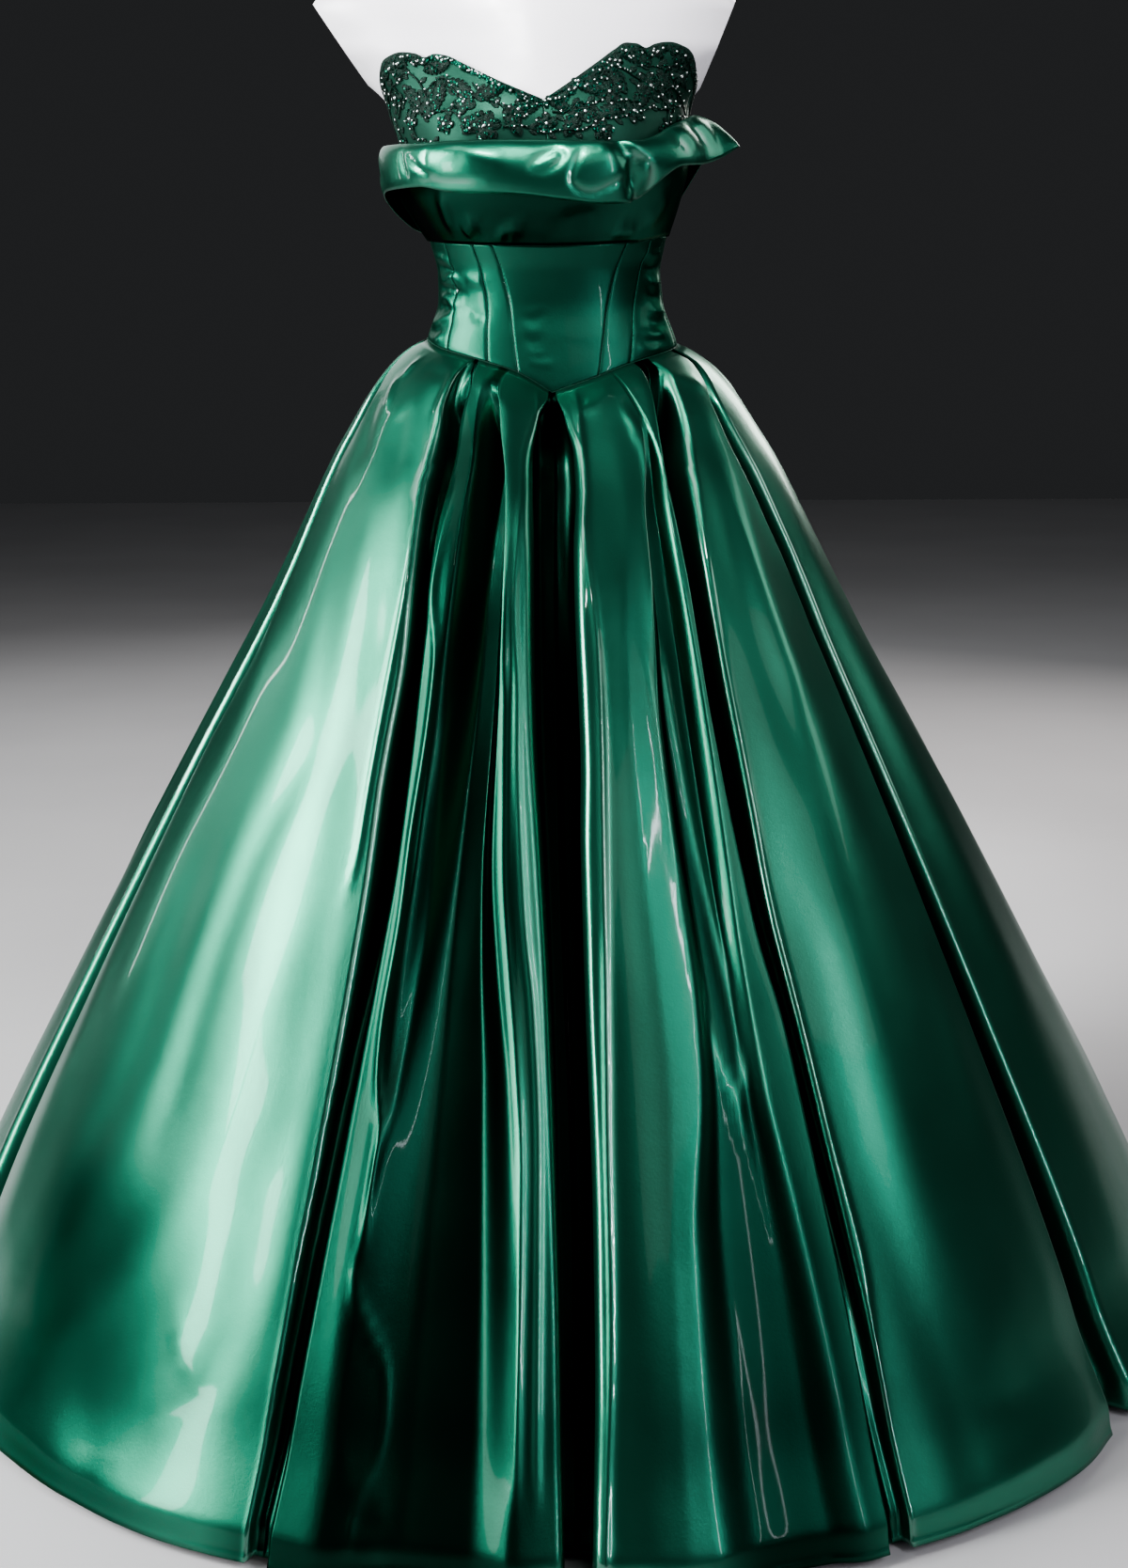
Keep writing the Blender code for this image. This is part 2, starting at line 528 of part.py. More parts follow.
def back_pleat(row):
    """A plain pleat, which opens from nothing at the waist and is as wide as its row says lower down."""
    folds = []
    for height, share, open_share, deep in (
        (1.065, 0, 0.25, 0.06), (1.00, 0.12, 0.8, 0.45), (0.92, 0.3, 1, 0.8), (0.80, 0.5, 1, 1),
        (0.55, 0.8, 1, 1), (0.00, 1, 0.9, 0.8),
    ):
        azimuth = row.waist + (row.hem - row.waist) * share
        half = np.degrees(row.half_width * open_share / table(FLARE, "radius", height))
        folds.append(Fold(height, azimuth - half, azimuth + half, row.depth * deep))
    return Pleat(tuple(folds), row.left_turn, row.right_turn, row.overhang, row.seam)


PLEATS = FRONT_PLEATS + tuple(back_pleat(row) for row in BACK_PLEATS)


def lips(pleat, height):
    left, right = table(pleat.folds, "left", height), table(pleat.folds, "right", height)
    return (left + right) / 2, (right - left) / 2


def bare_skirt_radius(azimuth, height):
    """The skirt's radius with no pleat in it: the figure's section at the seam, and round lower down."""
    seam = basque(wrapped(azimuth))
    drop = np.maximum(seam - height, 0)
    waist = figure_radius(azimuth, seam) + FORM_GAP + CORSET_WALL / 2
    side = column(FLARE, "radius")
    flared = waist + smooth(SIDE_SEAM_HEIGHT - drop, column(FLARE, "height"), side) - side[-1]
    share = np.exp(-((drop / WAIST_BLEND) ** 2))
    return share * flared + (1 - share) * table(FLARE, "radius", height)


def skirt_surface(azimuth, height):
    """Points of the pleated skirt, in the middle of its wall."""
    radius = bare_skirt_radius(azimuth, height)
    drop = basque(wrapped(azimuth)) - height
    depth = np.zeros_like(radius)
    sag = np.zeros_like(radius)
    aside = np.zeros_like(radius)
    for pleat in PLEATS:
        middle, half = lips(pleat, height)
        off = wrapped(azimuth - middle) / half
        turn = 1 + np.where(off < 0, pleat.left_turn, pleat.right_turn)
        share = np.clip((np.abs(off) - PLEAT_FOOT) / (turn - PLEAT_FOOT), 0, 1)
        here = table(pleat.folds, "depth", height)
        depth = np.maximum(depth, here * (1 - ease(share)))
        aside = aside + np.sign(off) * np.sin(2 * np.pi * share) * pleat.overhang * ease(here / 0.05)
        far = np.radians(half * np.maximum(np.abs(off) - 1, 0)) * radius
        sag = np.maximum(sag, np.exp(-((far / PANEL_SAG_REACH) ** 2)) * ease(here / 0.04))
    sag = sag * PANEL_SAG * ease(drop / 0.3)
    room = radius - sag - figure_radius(azimuth, np.maximum(height, HIPS)) - HIP_ROOM
    depth = np.where(height > HIPS_FOOT, np.minimum(depth, np.maximum(room, 0)), depth)
    roll = HEM_ROLL * ease((HEM_ROLL_TOP - height) / (HEM_ROLL_TOP - HEM_HEIGHT))
    flip = HEM_FLIP * np.exp(-(((height - HEM_FLIP_HEIGHT) / HEM_FLIP_SPREAD) ** 2))
    radius = radius - sag - depth - roll + flip
    lean = table(FIGURE, "lean", height)
    return polar(azimuth + np.degrees(aside / radius), radius, height, lean)


def pleat_order():
    """The pleats from centre back round the wearer's right, front and left to centre back again."""
    places = [float(wrapped(lips(pleat, 0.5)[0])) for pleat in PLEATS]
    order = sorted(range(len(PLEATS)), key=lambda i: places[i])
    back = max(order, key=lambda i: abs(places[i]))
    order.remove(back)
    return [back, *order, back]


def skirt_azimuths(heights):
    """Azimuths of the skirt's columns at some heights, denser at the pleats' lips, and the columns that
    run down the middle of each pleat."""
    order = pleat_order()
    columns = []
    middles = []
    for place, i in enumerate(order):
        middle, half = lips(PLEATS[i], heights)
        if place == 0:
            middle = middle - 360 * (middle > 0)
        if place:
            reach = half * (1 + PLEATS[i].left_turn)
            nearest = (middle - half + last + last_half) / 2
            start = np.maximum(middle - reach, nearest + 0.2)
            end = np.minimum(last + last_half * (1 + last_turn), nearest - 0.2)
            columns.append(end)
            count = int(np.ceil(np.max(start - end) / PANEL_STEP_DEG))
            columns += [end + (start - end) * k / count for k in range(1, count)]
            columns.append(start)
            columns += [middle - half * step for step in PLEAT_STEPS[::-1]]
        middles.append(len(columns))
        columns.append(middle)
        if place < len(order) - 1:
            columns += [middle + half * step for step in PLEAT_STEPS]
        last, last_half, last_turn = middle, half, PLEATS[i].right_turn
    return np.stack(columns, axis=-1), middles


def skirt_grid():
    """The whole skirt's points and normals, rows from hem to waist, and its pleats' middle columns."""
    share = np.array(SKIRT_DROPS[::-1])
    azimuth, middles = skirt_azimuths(1.05 - share * 1.03)
    for _ in range(3):
        top = basque(wrapped(azimuth)) - SEAM_GAP / 2
        heights = top - share[:, None] * (top - HEM_HEIGHT)
        found = [skirt_azimuths(heights[:, j])[0][:, j] for j in range(azimuth.shape[1])]
        azimuth = np.stack(found, axis=-1)
    points = skirt_surface(azimuth, heights)
    normal = grid_normals(points)
    out = polar(azimuth[-1], 1.0, 0.0)
    normal[-1] = out
    return points, normal, middles


def skirt(paint):
    """Eight gores, seamed down the middles of their pleats."""
    points, normal, middles = skirt_grid()
    order = pleat_order()
    seams = [place for place, i in enumerate(order) if PLEATS[i].seam]
    for name, first, last in zip(GORE_NAMES, seams, seams[1:]):
        part = slice(middles[first], middles[last] + 1)
        middle = drawn_in(points[:, part], SEAM_GAP / 2)
        step = normal[:, part] * SKIRT_WALL / 2
        add_wall(name, middle - step, middle + step, paint)


def add_rings(name, rings, paint):
    """A closed body through rings of points, with a face at each end."""
    count = len(rings[0])
    points = [point for ring in rings for point in ring]
    faces = []
    for i in range(len(rings) - 1):
        for j in range(count):
            k = (j + 1) % count
            faces.append((i * count + j, i * count + k, (i + 1) * count + k, (i + 1) * count + j))
    last = (len(rings) - 1) * count
    faces.append(tuple(range(count - 1, -1, -1)))
    faces.append(tuple(last + j for j in range(count)))
    mesh = bpy.data.meshes.new(name)
    mesh.from_pydata([tuple(map(float, point)) for point in points], [], faces)
    return add_object(name, mesh, paint)


def cut_arm_plates(mesh):
    """Cuts the torso off flat at each shoulder, above the foot of the arm plate."""
    (tip_out, tip_up), (foot_out, foot_up) = PLATE_TIP, PLATE_FOOT
    tip_lean, foot_lean = (float(table(FIGURE, "lean", height)) for height in (tip_up, foot_up))
    shape = bmesh.new()
    shape.from_mesh(mesh)
    everything = [*shape.verts, *shape.edges, *shape.faces]
    bmesh.ops.bisect_plane(
        shape, geom=everything, plane_co=Vector((0, 0, foot_up)), plane_no=Vector((0, 0, 1))
    )
    for side in (-1, 1):
        above = [face for face in shape.faces if face.calc_center_median().z > foot_up]
        edges = {edge for face in above for edge in face.edges}
        points = {point for face in above for point in face.verts}
        tip = Vector((tip_lean + side * tip_out, 0, tip_up))
        foot = Vector((foot_lean + side * foot_out, 0, foot_up))
        slope = tip - foot
        bmesh.ops.bisect_plane(
            shape,
            geom=[*points, *edges, *above],
            plane_co=tip,
            plane_no=Vector((side * slope.z, 0, -side * slope.x)),
            clear_outer=True,
        )
        open_edges = [edge for edge in shape.edges if edge.is_boundary]
        bmesh.ops.holes_fill(shape, edges=open_edges, sides=0)
    bmesh.ops.remove_doubles(shape, verts=shape.verts, dist=1e-5)
    bmesh.ops.recalc_face_normals(shape, faces=shape.faces)
    shape.to_mesh(mesh)
    shape.free()


def torso(paint):
    """The form's trunk, from the hips to the neck, with flat arm plates."""
    heights = [section.height for section in FIGURE[:4]]
    for (start, step), (end, _) in zip(TORSO_STEPS, TORSO_STEPS[1:]):
        heights += list(steps_between(start, end, step)[1:])
    azimuth = np.arange(TORSO_COLUMNS) * 360 / TORSO_COLUMNS
    rings = [on_figure(azimuth, height, 0.0) for height in heights]
    obj = add_rings("dress_form_torso", rings, paint)
    cut_arm_plates(obj.data)
    obj.data.shade_smooth()
    obj.data.set_sharp_from_angle(angle=np.radians(40))


def turned(name, profile, paint, lean=0.0):
    """A round body from (radius, height) pairs, bottom first."""
    azimuth = np.arange(ROUND_SIDES) * 360 / ROUND_SIDES
    rings = [polar(azimuth, radius, height, lean) for radius, height in profile]
    return add_rings(name, rings, paint)


def stand(metal, cap_paint):
    """The round base on the floor, the pole with its collar, and the cap on the neck."""
    edge = STAND_EDGE
    turned("form_base", (
        (BASE_RADIUS - edge, 0), (BASE_RADIUS, edge), (BASE_RADIUS, BASE_HEIGHT - edge),
        (BASE_RADIUS - edge, BASE_HEIGHT),
    ), metal)
    foot = BASE_HEIGHT + TOUCH_GAP
    turned("form_pole", (
        (COLLAR_RADIUS, foot), (COLLAR_RADIUS, foot + COLLAR_HEIGHT - edge),
        (COLLAR_RADIUS - edge, foot + COLLAR_HEIGHT), (POLE_RADIUS, foot + COLLAR_HEIGHT + edge / 2),
        (POLE_RADIUS, FIGURE[0].height - TOUCH_GAP),
    ), metal)
    neck = FIGURE[-1]
    azimuth = np.arange(ROUND_SIDES) * 360 / ROUND_SIDES
    foot = NECK_TOP + TOUCH_GAP
    rings = []
    for wider, height in (
        (CAP_OVERHANG - CAP_CHAMFER, foot), (CAP_OVERHANG, foot + CAP_CHAMFER),
        (CAP_OVERHANG, foot + CAP_HEIGHT - CAP_ROUNDING),
        (CAP_OVERHANG - CAP_ROUNDING, foot + CAP_HEIGHT - TOUCH_GAP),
    ):
        radius = figure_radius(azimuth, neck.height) + wider
        rings.append(polar(azimuth, radius, height, neck.lean))
    add_rings("form_neck_cap", rings, cap_paint)


def main():
    for old in list(bpy.data.objects):
        bpy.data.objects.remove(old, do_unlink=True)
    satin = material("emerald_satin", (0.008, 0.16, 0.085), 0.28, 0.3)
    lace = material("green_lace", (0.004, 0.07, 0.035), 0.55)
    shell = material("white_form_shell", (0.86, 0.84, 0.87), 0.35)
    steel = material("satin_steel", (0.55, 0.55, 0.56), 0.3, 1.0)
    corset(satin)
    upper_bodice(lace)
    drape(satin)
    skirt(satin)
    torso(shell)
    stand(steel, shell)


main()
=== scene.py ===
"""How a strapless ball gown on a limbless dress form looks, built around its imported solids.

Metres, +Z up, and the gown's front faces -Y. An azimuth is measured from the front towards +X, in degrees.
Left and right are the wearer's, so left is +X. The tables and formulas of the gown's form are those of its
solids; the folds, lace, beads and sewing that lie on it are this script's own.
"""

from collections import namedtuple

import bmesh
import bpy
import numpy as np
from mathutils import Matrix, Vector


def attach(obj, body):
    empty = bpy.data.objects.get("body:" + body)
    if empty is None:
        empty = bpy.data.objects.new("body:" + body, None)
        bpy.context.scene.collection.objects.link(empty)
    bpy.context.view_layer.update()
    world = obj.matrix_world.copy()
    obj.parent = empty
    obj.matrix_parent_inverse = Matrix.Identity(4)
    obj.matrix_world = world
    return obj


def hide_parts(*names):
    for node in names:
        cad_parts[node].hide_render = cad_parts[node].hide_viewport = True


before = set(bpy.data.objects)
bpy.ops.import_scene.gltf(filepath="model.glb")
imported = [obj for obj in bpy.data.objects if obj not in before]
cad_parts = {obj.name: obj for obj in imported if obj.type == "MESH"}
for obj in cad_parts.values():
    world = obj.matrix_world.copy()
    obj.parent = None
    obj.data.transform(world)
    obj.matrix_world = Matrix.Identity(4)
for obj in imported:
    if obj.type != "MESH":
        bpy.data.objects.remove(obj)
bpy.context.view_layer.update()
scene = bpy.context.scene
random = np.random.default_rng(7)

MM, TENTHS = 1000, 10000  # the tables' lengths are in millimetres, or in tenths of one


def rows(kind, units, *values):
    """A table's rows. Each number is divided by its field's units to the metre, unless those are 1."""
    return tuple(kind(*(x if unit == 1 else x / unit for x, unit in zip(row, units))) for row in values)


def path_of(numbers):
    """Pairs of an azimuth and a length in metres, from azimuths and millimetres by turns."""
    return tuple((azimuth, length / MM) for azimuth, length in zip(numbers[::2], numbers[1::2]))


# Walls and gaps
CORSET_WALL = 0.0024
DRAPE_WALL = 0.0016
SKIRT_WALL = 0.0020
SEAM_GAP = 0.0006  # between pieces that are sewn together
FORM_GAP = 0.0011  # between the form and the cloth that it carries
LACE_RISE = 0.0012
EDGE_STAND_OFF = 0.0020  # how far the bodice's high corners stand off the form
STAND_OFF_HEIGHTS = (1.315, 1.350)  # it grows from nothing at the first height to all at the second
CLOTH = 0.0009  # the shells' own thickness

# The figure that the cloth is fitted to, one row a section. lean is the middle's place along X, and power
# is the section's: 2 is an ellipse, and more is squarer.
Section = namedtuple("Section", "height half_width front back lean power")
FIGURE = rows(
    Section, (MM, MM, MM, MM, MM, 1),
    (858, 30, 28, 28, 0, 2.2), (862, 85, 70, 75, 0, 2.2), (875, 120, 92, 100, 0, 2.2),
    (905, 147, 106, 122, 0, 2.2), (950, 158, 111, 130, 0, 2.2), (1000, 153, 109, 122, -1, 2.2),
    (1040, 144, 104, 110, -2, 2.2), (1080, 133.5, 97, 98, -3, 2.2), (1120, 120, 91, 88, -3.5, 2.2),
    (1150, 118.5, 94, 87, -5, 2.2), (1180, 124.5, 103, 91, -6, 2.2), (1220, 136, 115, 99, -8, 2.2),
    (1260, 147, 124, 107, -10, 2.2), (1300, 154, 124, 113, -13, 2.2), (1325, 162, 119, 116, -15, 2),
    (1355, 190, 111, 119, -19, 1.7), (1385, 223, 101, 119, -23, 1.6), (1420, 230, 88, 110, -29, 1.75),
    (1445, 212, 78, 101, -29, 1.9), (1470, 172, 70, 91, -29, 2.1), (1495, 115, 63, 80, -29, 2.1),
    (1520, 76, 57, 68, -29, 2.1), (1550, 62, 53, 60, -29, 2.1), (1585, 60, 52, 57, -29, 2.1),
)
BUST_RISE, BUST_HEIGHT, BUST_SPREAD = 0.014, 1.278, 0.042
BUST_AZIMUTH, BUST_SPREAD_DEG = 33.0, 23.0

# The flat arm plates slope out and up from their lower ends
PLATE_TIP = (0.220, 1.420)  # from the middle, and height
PLATE_FOOT = (0.1560, 1.304)

# Where the gown's pieces end, round the figure
Edge = namedtuple("Edge", "azimuth height")
NECKLINE = rows(
    Edge, (1, MM),
    (-180, 1284), (-130, 1285), (-105, 1291), (-90, 1304), (-76, 1338), (-67, 1367), (-61, 1372), (-56, 1370),
    (-52, 1365.5), (-48, 1368.5), (-43, 1366.5), (-35, 1358), (-18, 1340), (2.5, 1320.5), (20, 1343),
    (34, 1361), (42, 1372), (48, 1379), (52, 1378.5), (55, 1374.5), (59, 1379), (64, 1381.5), (69, 1377),
    (77, 1346), (90, 1308), (105, 1294), (130, 1286), (180, 1284),
)
UNDERBUST = rows(
    Edge, (1, MM),
    (-180, 1184), (-90, 1184), (-45, 1179), (0, 1176.5), (45, 1180), (80, 1188), (130, 1186), (180, 1184),
)
BASQUE = rows(
    Edge, (1, MM),
    (-180, 1075), (-120, 1079), (-88, 1080), (-60, 1069), (-36, 1057), (-19, 1046.5), (0, 1025.5),
    (25, 1041.5), (44, 1055), (68, 1066), (95, 1074), (130, 1075), (180, 1075),
)

# The corset's panels and the seams between them, which lean in towards the point of the waist
Seam = namedtuple("Seam", "top foot")
CORSET_SEAMS = rows(
    Seam, (1, 1), (-180, -180), (-104, -104), (-62, -60), (-43, -36), (-31.5, -19), (45, 26), (62, 43.5),
    (84, 80), (122, 120), (180, 180),
)
CORSET_PANELS = (
    "back_right", "side_right", "side_front_right", "front_right", "centre_front", "front_left",
    "side_front_left", "side_left", "back_left",
)
CUPS_END = 78  # the cups' side seams, where the lace ends
BODICE_SEAMS = (-180, -CUPS_END, 2.5, CUPS_END, 180)
BODICE_PANELS = ("bodice_back_right", "cup_right", "cup_left", "bodice_back_left")

# The lace's raised leaves: place round the figure and below the neckline, sizes, and turn from upright
Leaf = namedtuple("Leaf", "azimuth below length width turn")
LEAVES = rows(
    Leaf, (1, MM, MM, MM, 1),
    (-63, 14, 30, 13, 20), (-59, 46, 36, 14, -35), (-47, 12, 28, 12, 75), (-46, 40, 34, 14, 10),
    (-36, 26, 36, 14, -60), (-28, 52, 30, 13, 40), (-22, 14, 32, 12, 70), (-12, 34, 34, 14, -25),
    (-4, 12, 26, 11, 60), (9, 12, 26, 11, -60), (14, 36, 34, 14, 30), (24, 14, 32, 13, -65),
    (31, 46, 32, 14, 70), (38, 22, 36, 14, -20), (48, 52, 36, 14, 50), (50, 14, 30, 13, -75),
    (60, 34, 34, 14, 15), (67, 14, 28, 12, -40),
)

# The drape's folded section, one row a place round the figure. The under layer leaves the underbust seam
# and swells by bulge; the band turns over at the fold, and the flap comes down to its free edge.
Drape = namedtuple("Drape", "azimuth bulge fold_height fold_out edge_height edge_out")
DRAPE = rows(
    Drape, (1, TENTHS, MM, TENTHS, MM, TENTHS),
    (-180, 85, 1277, 125, 1197, 165), (-140, 90, 1278, 130, 1194, 170), (-116, 100, 1279, 150, 1190, 190),
    (-104, 120, 1280, 175, 1196, 240), (-95, 150, 1281, 195, 1210, 310), (-86, 180, 1282, 200, 1226, 370),
    (-70, 200, 1281, 190, 1234, 390), (-48, 200, 1280, 170, 1235.5, 400), (-34, 190, 1280, 160, 1229, 420),
    (-9, 180, 1281, 160, 1225.5, 440), (8, 180, 1280, 165, 1220, 450), (21, 160, 1279, 170, 1216.5, 440),
    (38, 120, 1281, 165, 1221, 380), (45, 120, 1286, 160, 1244, 360), (52, 120, 1294, 155, 1256, 370),
    (66, 105, 1306, 150, 1260, 400), (75, 100, 1311, 145, 1268, 490), (82, 95, 1310, 150, 1281, 640),
    (88, 90, 1304, 150, 1277, 360), (97, 85, 1292, 140, 1252, 220), (112, 85, 1283, 130, 1214, 175),
    (140, 85, 1278, 125, 1199, 165), (180, 85, 1277, 125, 1197, 165),
)
DRAPE_START = 0.0055  # the middle of the band's wall at its seam, out from the figure
DRAPE_NEAREST = 0.0066  # and the closest that it comes above the seam
TUCK_AZIMUTH = (28, 38)  # at the fold and at the free edge
TUCK_DEPTH = 0.014
TUCK_WIDTH = 0.009
TUCK_RADIUS = 0.15  # turns degrees beside the tuck into metres
TUCK_AT_FOLD = 0.35  # the share of its depth that it already has at the fold

# The skirt: its outer radius at the sides, by height
HEM_HEIGHT = 0.010
HEM_ROLL = 0.009  # how far the hem curls under, from this height down
HEM_ROLL_TOP = 0.042
HEM_FLIP = 0.0012  # and how far the cloth kicks out just above it
HEM_FLIP_HEIGHT = 0.060
HEM_FLIP_SPREAD = 0.035
Flare = namedtuple("Flare", "height radius")
FLARE = rows(
    Flare, (MM, MM),
    (0, 757), (90, 703), (158, 672), (396, 547), (437, 525), (629, 421), (779, 337), (841, 305), (881, 285),
    (957, 246), (981, 231), (1030, 199), (1060, 172), (1074, 152), (1080, 138.5),
)
SIDE_SEAM_HEIGHT = 1.080
WAIST_BLEND = 0.16  # how far below the seam the skirt turns from the figure's section to a round one
HIP_ROOM = 0.007  # the least from the figure to a pleat's bottom
PANEL_SAG = 0.012
PANEL_SAG_REACH = 0.055
PANEL_SAG_TOP = 0.3  # how far below the waist seam it is full
HIPS = 0.90  # the figure tapers off below here
HIPS_FOOT = 0.86  # the pleats are kept clear of the figure from here up
GORE_NAMES = (
    "back_right", "side_right", "front_outer_right", "front_inner_right", "front_inner_left",
    "front_outer_left", "side_left", "back_left",
)

# A pleat's lips (degrees) and depth (metres) by height, how far outside each lip the cloth starts to turn
# in, as a share of the half width, how far the lips hang over the pleat's foot, and whether two gores are
# seamed in it
Fold = namedtuple("Fold", "height left right depth")
Pleat = namedtuple("Pleat", "left_turn right_turn overhang seam folds")


def pleat_row(left_turn, right_turn, overhang, seam, *folds):
    return Pleat(left_turn, right_turn, overhang, seam, rows(Fold, (MM, 1, 1, MM), *folds))


FRONT_PLEATS = (
    pleat_row(
        0.8, 1.2, 0.003, True,
        (1070, -86, -83, 6), (1020, -83, -78, 28), (920, -81, -75.5, 50), (750, -79.5, -74.5, 60),
        (500, -78, -73.5, 60), (250, -76, -71.5, 55), (0, -71.5, -67, 45),
    ),
    pleat_row(
        0.35, 0.6, 0.006, True,
        (1062, -42.4, -41.2, 4), (1050, -42.6, -38.2, 10), (1035, -41.6, -35.4, 18), (1010, -40.2, -33.4, 26),
        (960, -37.2, -30.2, 50), (900, -33.6, -28.6, 66), (820, -29.4, -25.6, 75), (750, -27.2, -23.8, 75),
        (670, -26, -22.3, 75), (560, -24.3, -21.2, 70), (400, -23.4, -21, 46), (0, -22.4, -21.1, 14),
    ),
    pleat_row(
        1.35, 0.6, 0.0, False,
        (1040, -28, -24, 3), (1000, -24, -19.6, 20), (950, -20, -15, 40), (900, -18.4, -12.9, 50),
        (800, -16.6, -11.2, 52), (700, -15.3, -10.2, 48), (600, -14.8, -9.6, 45), (500, -14.4, -8.2, 40),
        (400, -13.8, -6.6, 34), (200, -13.2, -5.2, 26), (0, -12.6, -4.8, 16),
    ),
    pleat_row(
        0.8, 0.7, 0.006, True,
        (1020, -1.4, 1.4, 4), (1000, -4.8, 4.2, 26), (965, -5.7, 5.8, 45), (930, -4.9, 5.5, 60),
        (880, -4, 4.1, 80), (790, -3.1, 3.6, 85), (700, -2.2, 3.6, 85), (600, -1.2, 3.2, 85),
        (500, -0.4, 3.2, 85), (350, 0.3, 3.3, 80), (200, 0.6, 3.1, 72), (0, 0.6, 2.4, 55),
    ),
    pleat_row(
        0.4, 0.3, 0.0, False,
        (1000, 31.5, 33, 1), (960, 27.8, 31.6, 10), (910, 23.2, 28.4, 16), (850, 20.9, 26.5, 20),
        (780, 19, 25.2, 22), (700, 17.2, 23.8, 22), (600, 16.6, 22.4, 20), (500, 16.4, 21.4, 16),
        (400, 15.5, 21, 13), (280, 13.4, 21.4, 13), (100, 12.8, 21.6, 12), (0, 12.8, 21.6, 10),
    ),
    pleat_row(
        0.35, 0.7, 0.004, True,
        (1052, 46, 52.5, 6), (1025, 41, 48.6, 20), (985, 35.8, 44.2, 36), (950, 32.8, 39.6, 50),
        (900, 30.4, 35.6, 66), (850, 29, 33, 73), (780, 27.3, 30.8, 75), (710, 26, 29.2, 72),
        (630, 25.2, 28, 66), (530, 24.9, 27, 60), (440, 25.6, 27.2, 52), (300, 25.4, 26.9, 34),
        (0, 24.4, 25.8, 14),
    ),
    pleat_row(
        0.6, 1.4, 0.004, True,
        (1055, 71, 73.5, 4), (1010, 60.8, 64, 18), (960, 58.2, 62, 30), (900, 58, 61.6, 34),
        (850, 58.4, 61.8, 36), (770, 57.6, 60.6, 38), (620, 55.4, 58, 40), (400, 53.3, 55.8, 40),
        (0, 50.3, 52.8, 35),
    ),
)
# The pleats that fall behind, each from its place at the waist to its place at the hem
BackPleat = namedtuple("BackPleat", "waist hem half_width depth left_turn right_turn overhang seam")
BACK_PLEATS = rows(
    BackPleat, (1,) * 8,
    (106, 99, 0.017, 0.055, 1.2, 0.5, 0.004, False), (128, 126, 0.02, 0.065, 0.5, 0.9, 0.005, True),
    (151, 153, 0.016, 0.05, 0.9, 0.5, 0.003, False), (180, 180, 0.022, 0.085, 0.35, 0.35, 0.006, True),
    (-149, -148, 0.018, 0.055, 0.5, 1, 0.004, False), (-120, -111, 0.02, 0.065, 0.9, 0.5, 0.005, True),
)
PLEAT_FOOT = 0.55  # where a soft pleat's wall meets its bottom, as a share of the half width
SEWN_FOOT = 1.0  # and a sewn pleat's, whose walls are steeper
DEEPER = 0.45  # the pleats open deeper just under the waist seam
DEEPER_HEIGHT = 0.965
LIP_GLEAM = 0.0035  # how far from a pleat's lip the painted gleam reaches
SOFT_SHADE = 0.62  # how much of a sewn pleat's painted shade a soft one has
LOW_LIGHT = 0.55  # how much of its painted shade a sewn pleat loses low down, all but the middle ones
MIDDLE_PLEATS = 20  # which start no more degrees from the front than this
LOW_LIGHT_TOP, LOW_LIGHT_FALL = 0.42, 0.34
CREASE_MARGIN = 0.012  # below the waist seam, where the creases start


# ---- Curves and the gown's form
def rising_slopes(xs, ys):
    """Slopes for a smooth curve through the points that never swings past them."""
    runs = np.diff(xs)
    steps = np.diff(ys) / runs
    slopes = np.empty(len(xs))
    slopes[0], slopes[-1] = steps[0], steps[-1]
    for i in range(1, len(xs) - 1):
        before, after = steps[i - 1], steps[i]
        if before * after <= 0:
            slopes[i] = 0
        else:
            w1, w2 = 2 * runs[i] + runs[i - 1], runs[i] + 2 * runs[i - 1]
            slopes[i] = (w1 + w2) / (w1 / before + w2 / after)
    return slopes


def smooth(x, xs, ys):
    """The value at x of the smooth curve through the points (xs, ys), held level past its ends."""
    xs, ys = np.asarray(xs, float), np.asarray(ys, float)
    if xs[0] > xs[-1]:
        xs, ys = xs[::-1], ys[::-1]
    slopes = rising_slopes(xs, ys)
    x = np.clip(x, xs[0], xs[-1])
    i = np.clip(np.searchsorted(xs, x, side="right") - 1, 0, len(xs) - 2)
    run = xs[i + 1] - xs[i]
    t = (x - xs[i]) / run
    start = (1 + 2 * t) * (1 - t) ** 2 * ys[i] + t * (1 - t) ** 2 * run * slopes[i]
    return start + t**2 * (3 - 2 * t) * ys[i + 1] + t**2 * (t - 1) * run * slopes[i + 1]


def column(table_rows, name):
    return np.array([getattr(row, name) for row in table_rows], float)


def table(table_rows, name, at, key="height"):
    return smooth(at, column(table_rows, key), column(table_rows, name))


def ease(t):
    """0 to 1 with level ends."""
    t = np.clip(t, 0, 1)
    return t * t * (3 - 2 * t)


def bell(x, power=2):
    """1 at 0, and falling away on both sides. A higher power has a flatter top."""
    return np.exp(-(x**power))


def unit(vectors):
    return vectors / np.linalg.norm(vectors, axis=-1, keepdims=True)


def spans(*marks):
    """Rising numbers from mark to mark. Between two marks stands how many there are, with both of them."""
    parts = [np.linspace(*span) for span in zip(marks[::2], marks[2::2], marks[1::2])]
    return np.concatenate([part[:-1] for part in parts[:-1]] + parts[-1:])


def wrapped(degrees):
    return (np.asarray(degrees, float) + 180) % 360 - 180


def edge_height(edges, azimuth, corner=None):
    """The height of an edge at each azimuth. At its corner the edge comes to a point."""
    if corner is None:
        return table(edges, "height", azimuth, "azimuth")
    right = [edge for edge in edges if edge.azimuth <= corner]
    left = [edge for edge in edges if edge.azimuth >= corner]
    return np.where(np.asarray(azimuth) < corner, edge_height(right, azimuth), edge_height(left, azimuth))


def neckline(azimuth):
    return edge_height(NECKLINE, azimuth, corner=2.5)


def underbust(azimuth):
    return edge_height(UNDERBUST, azimuth)


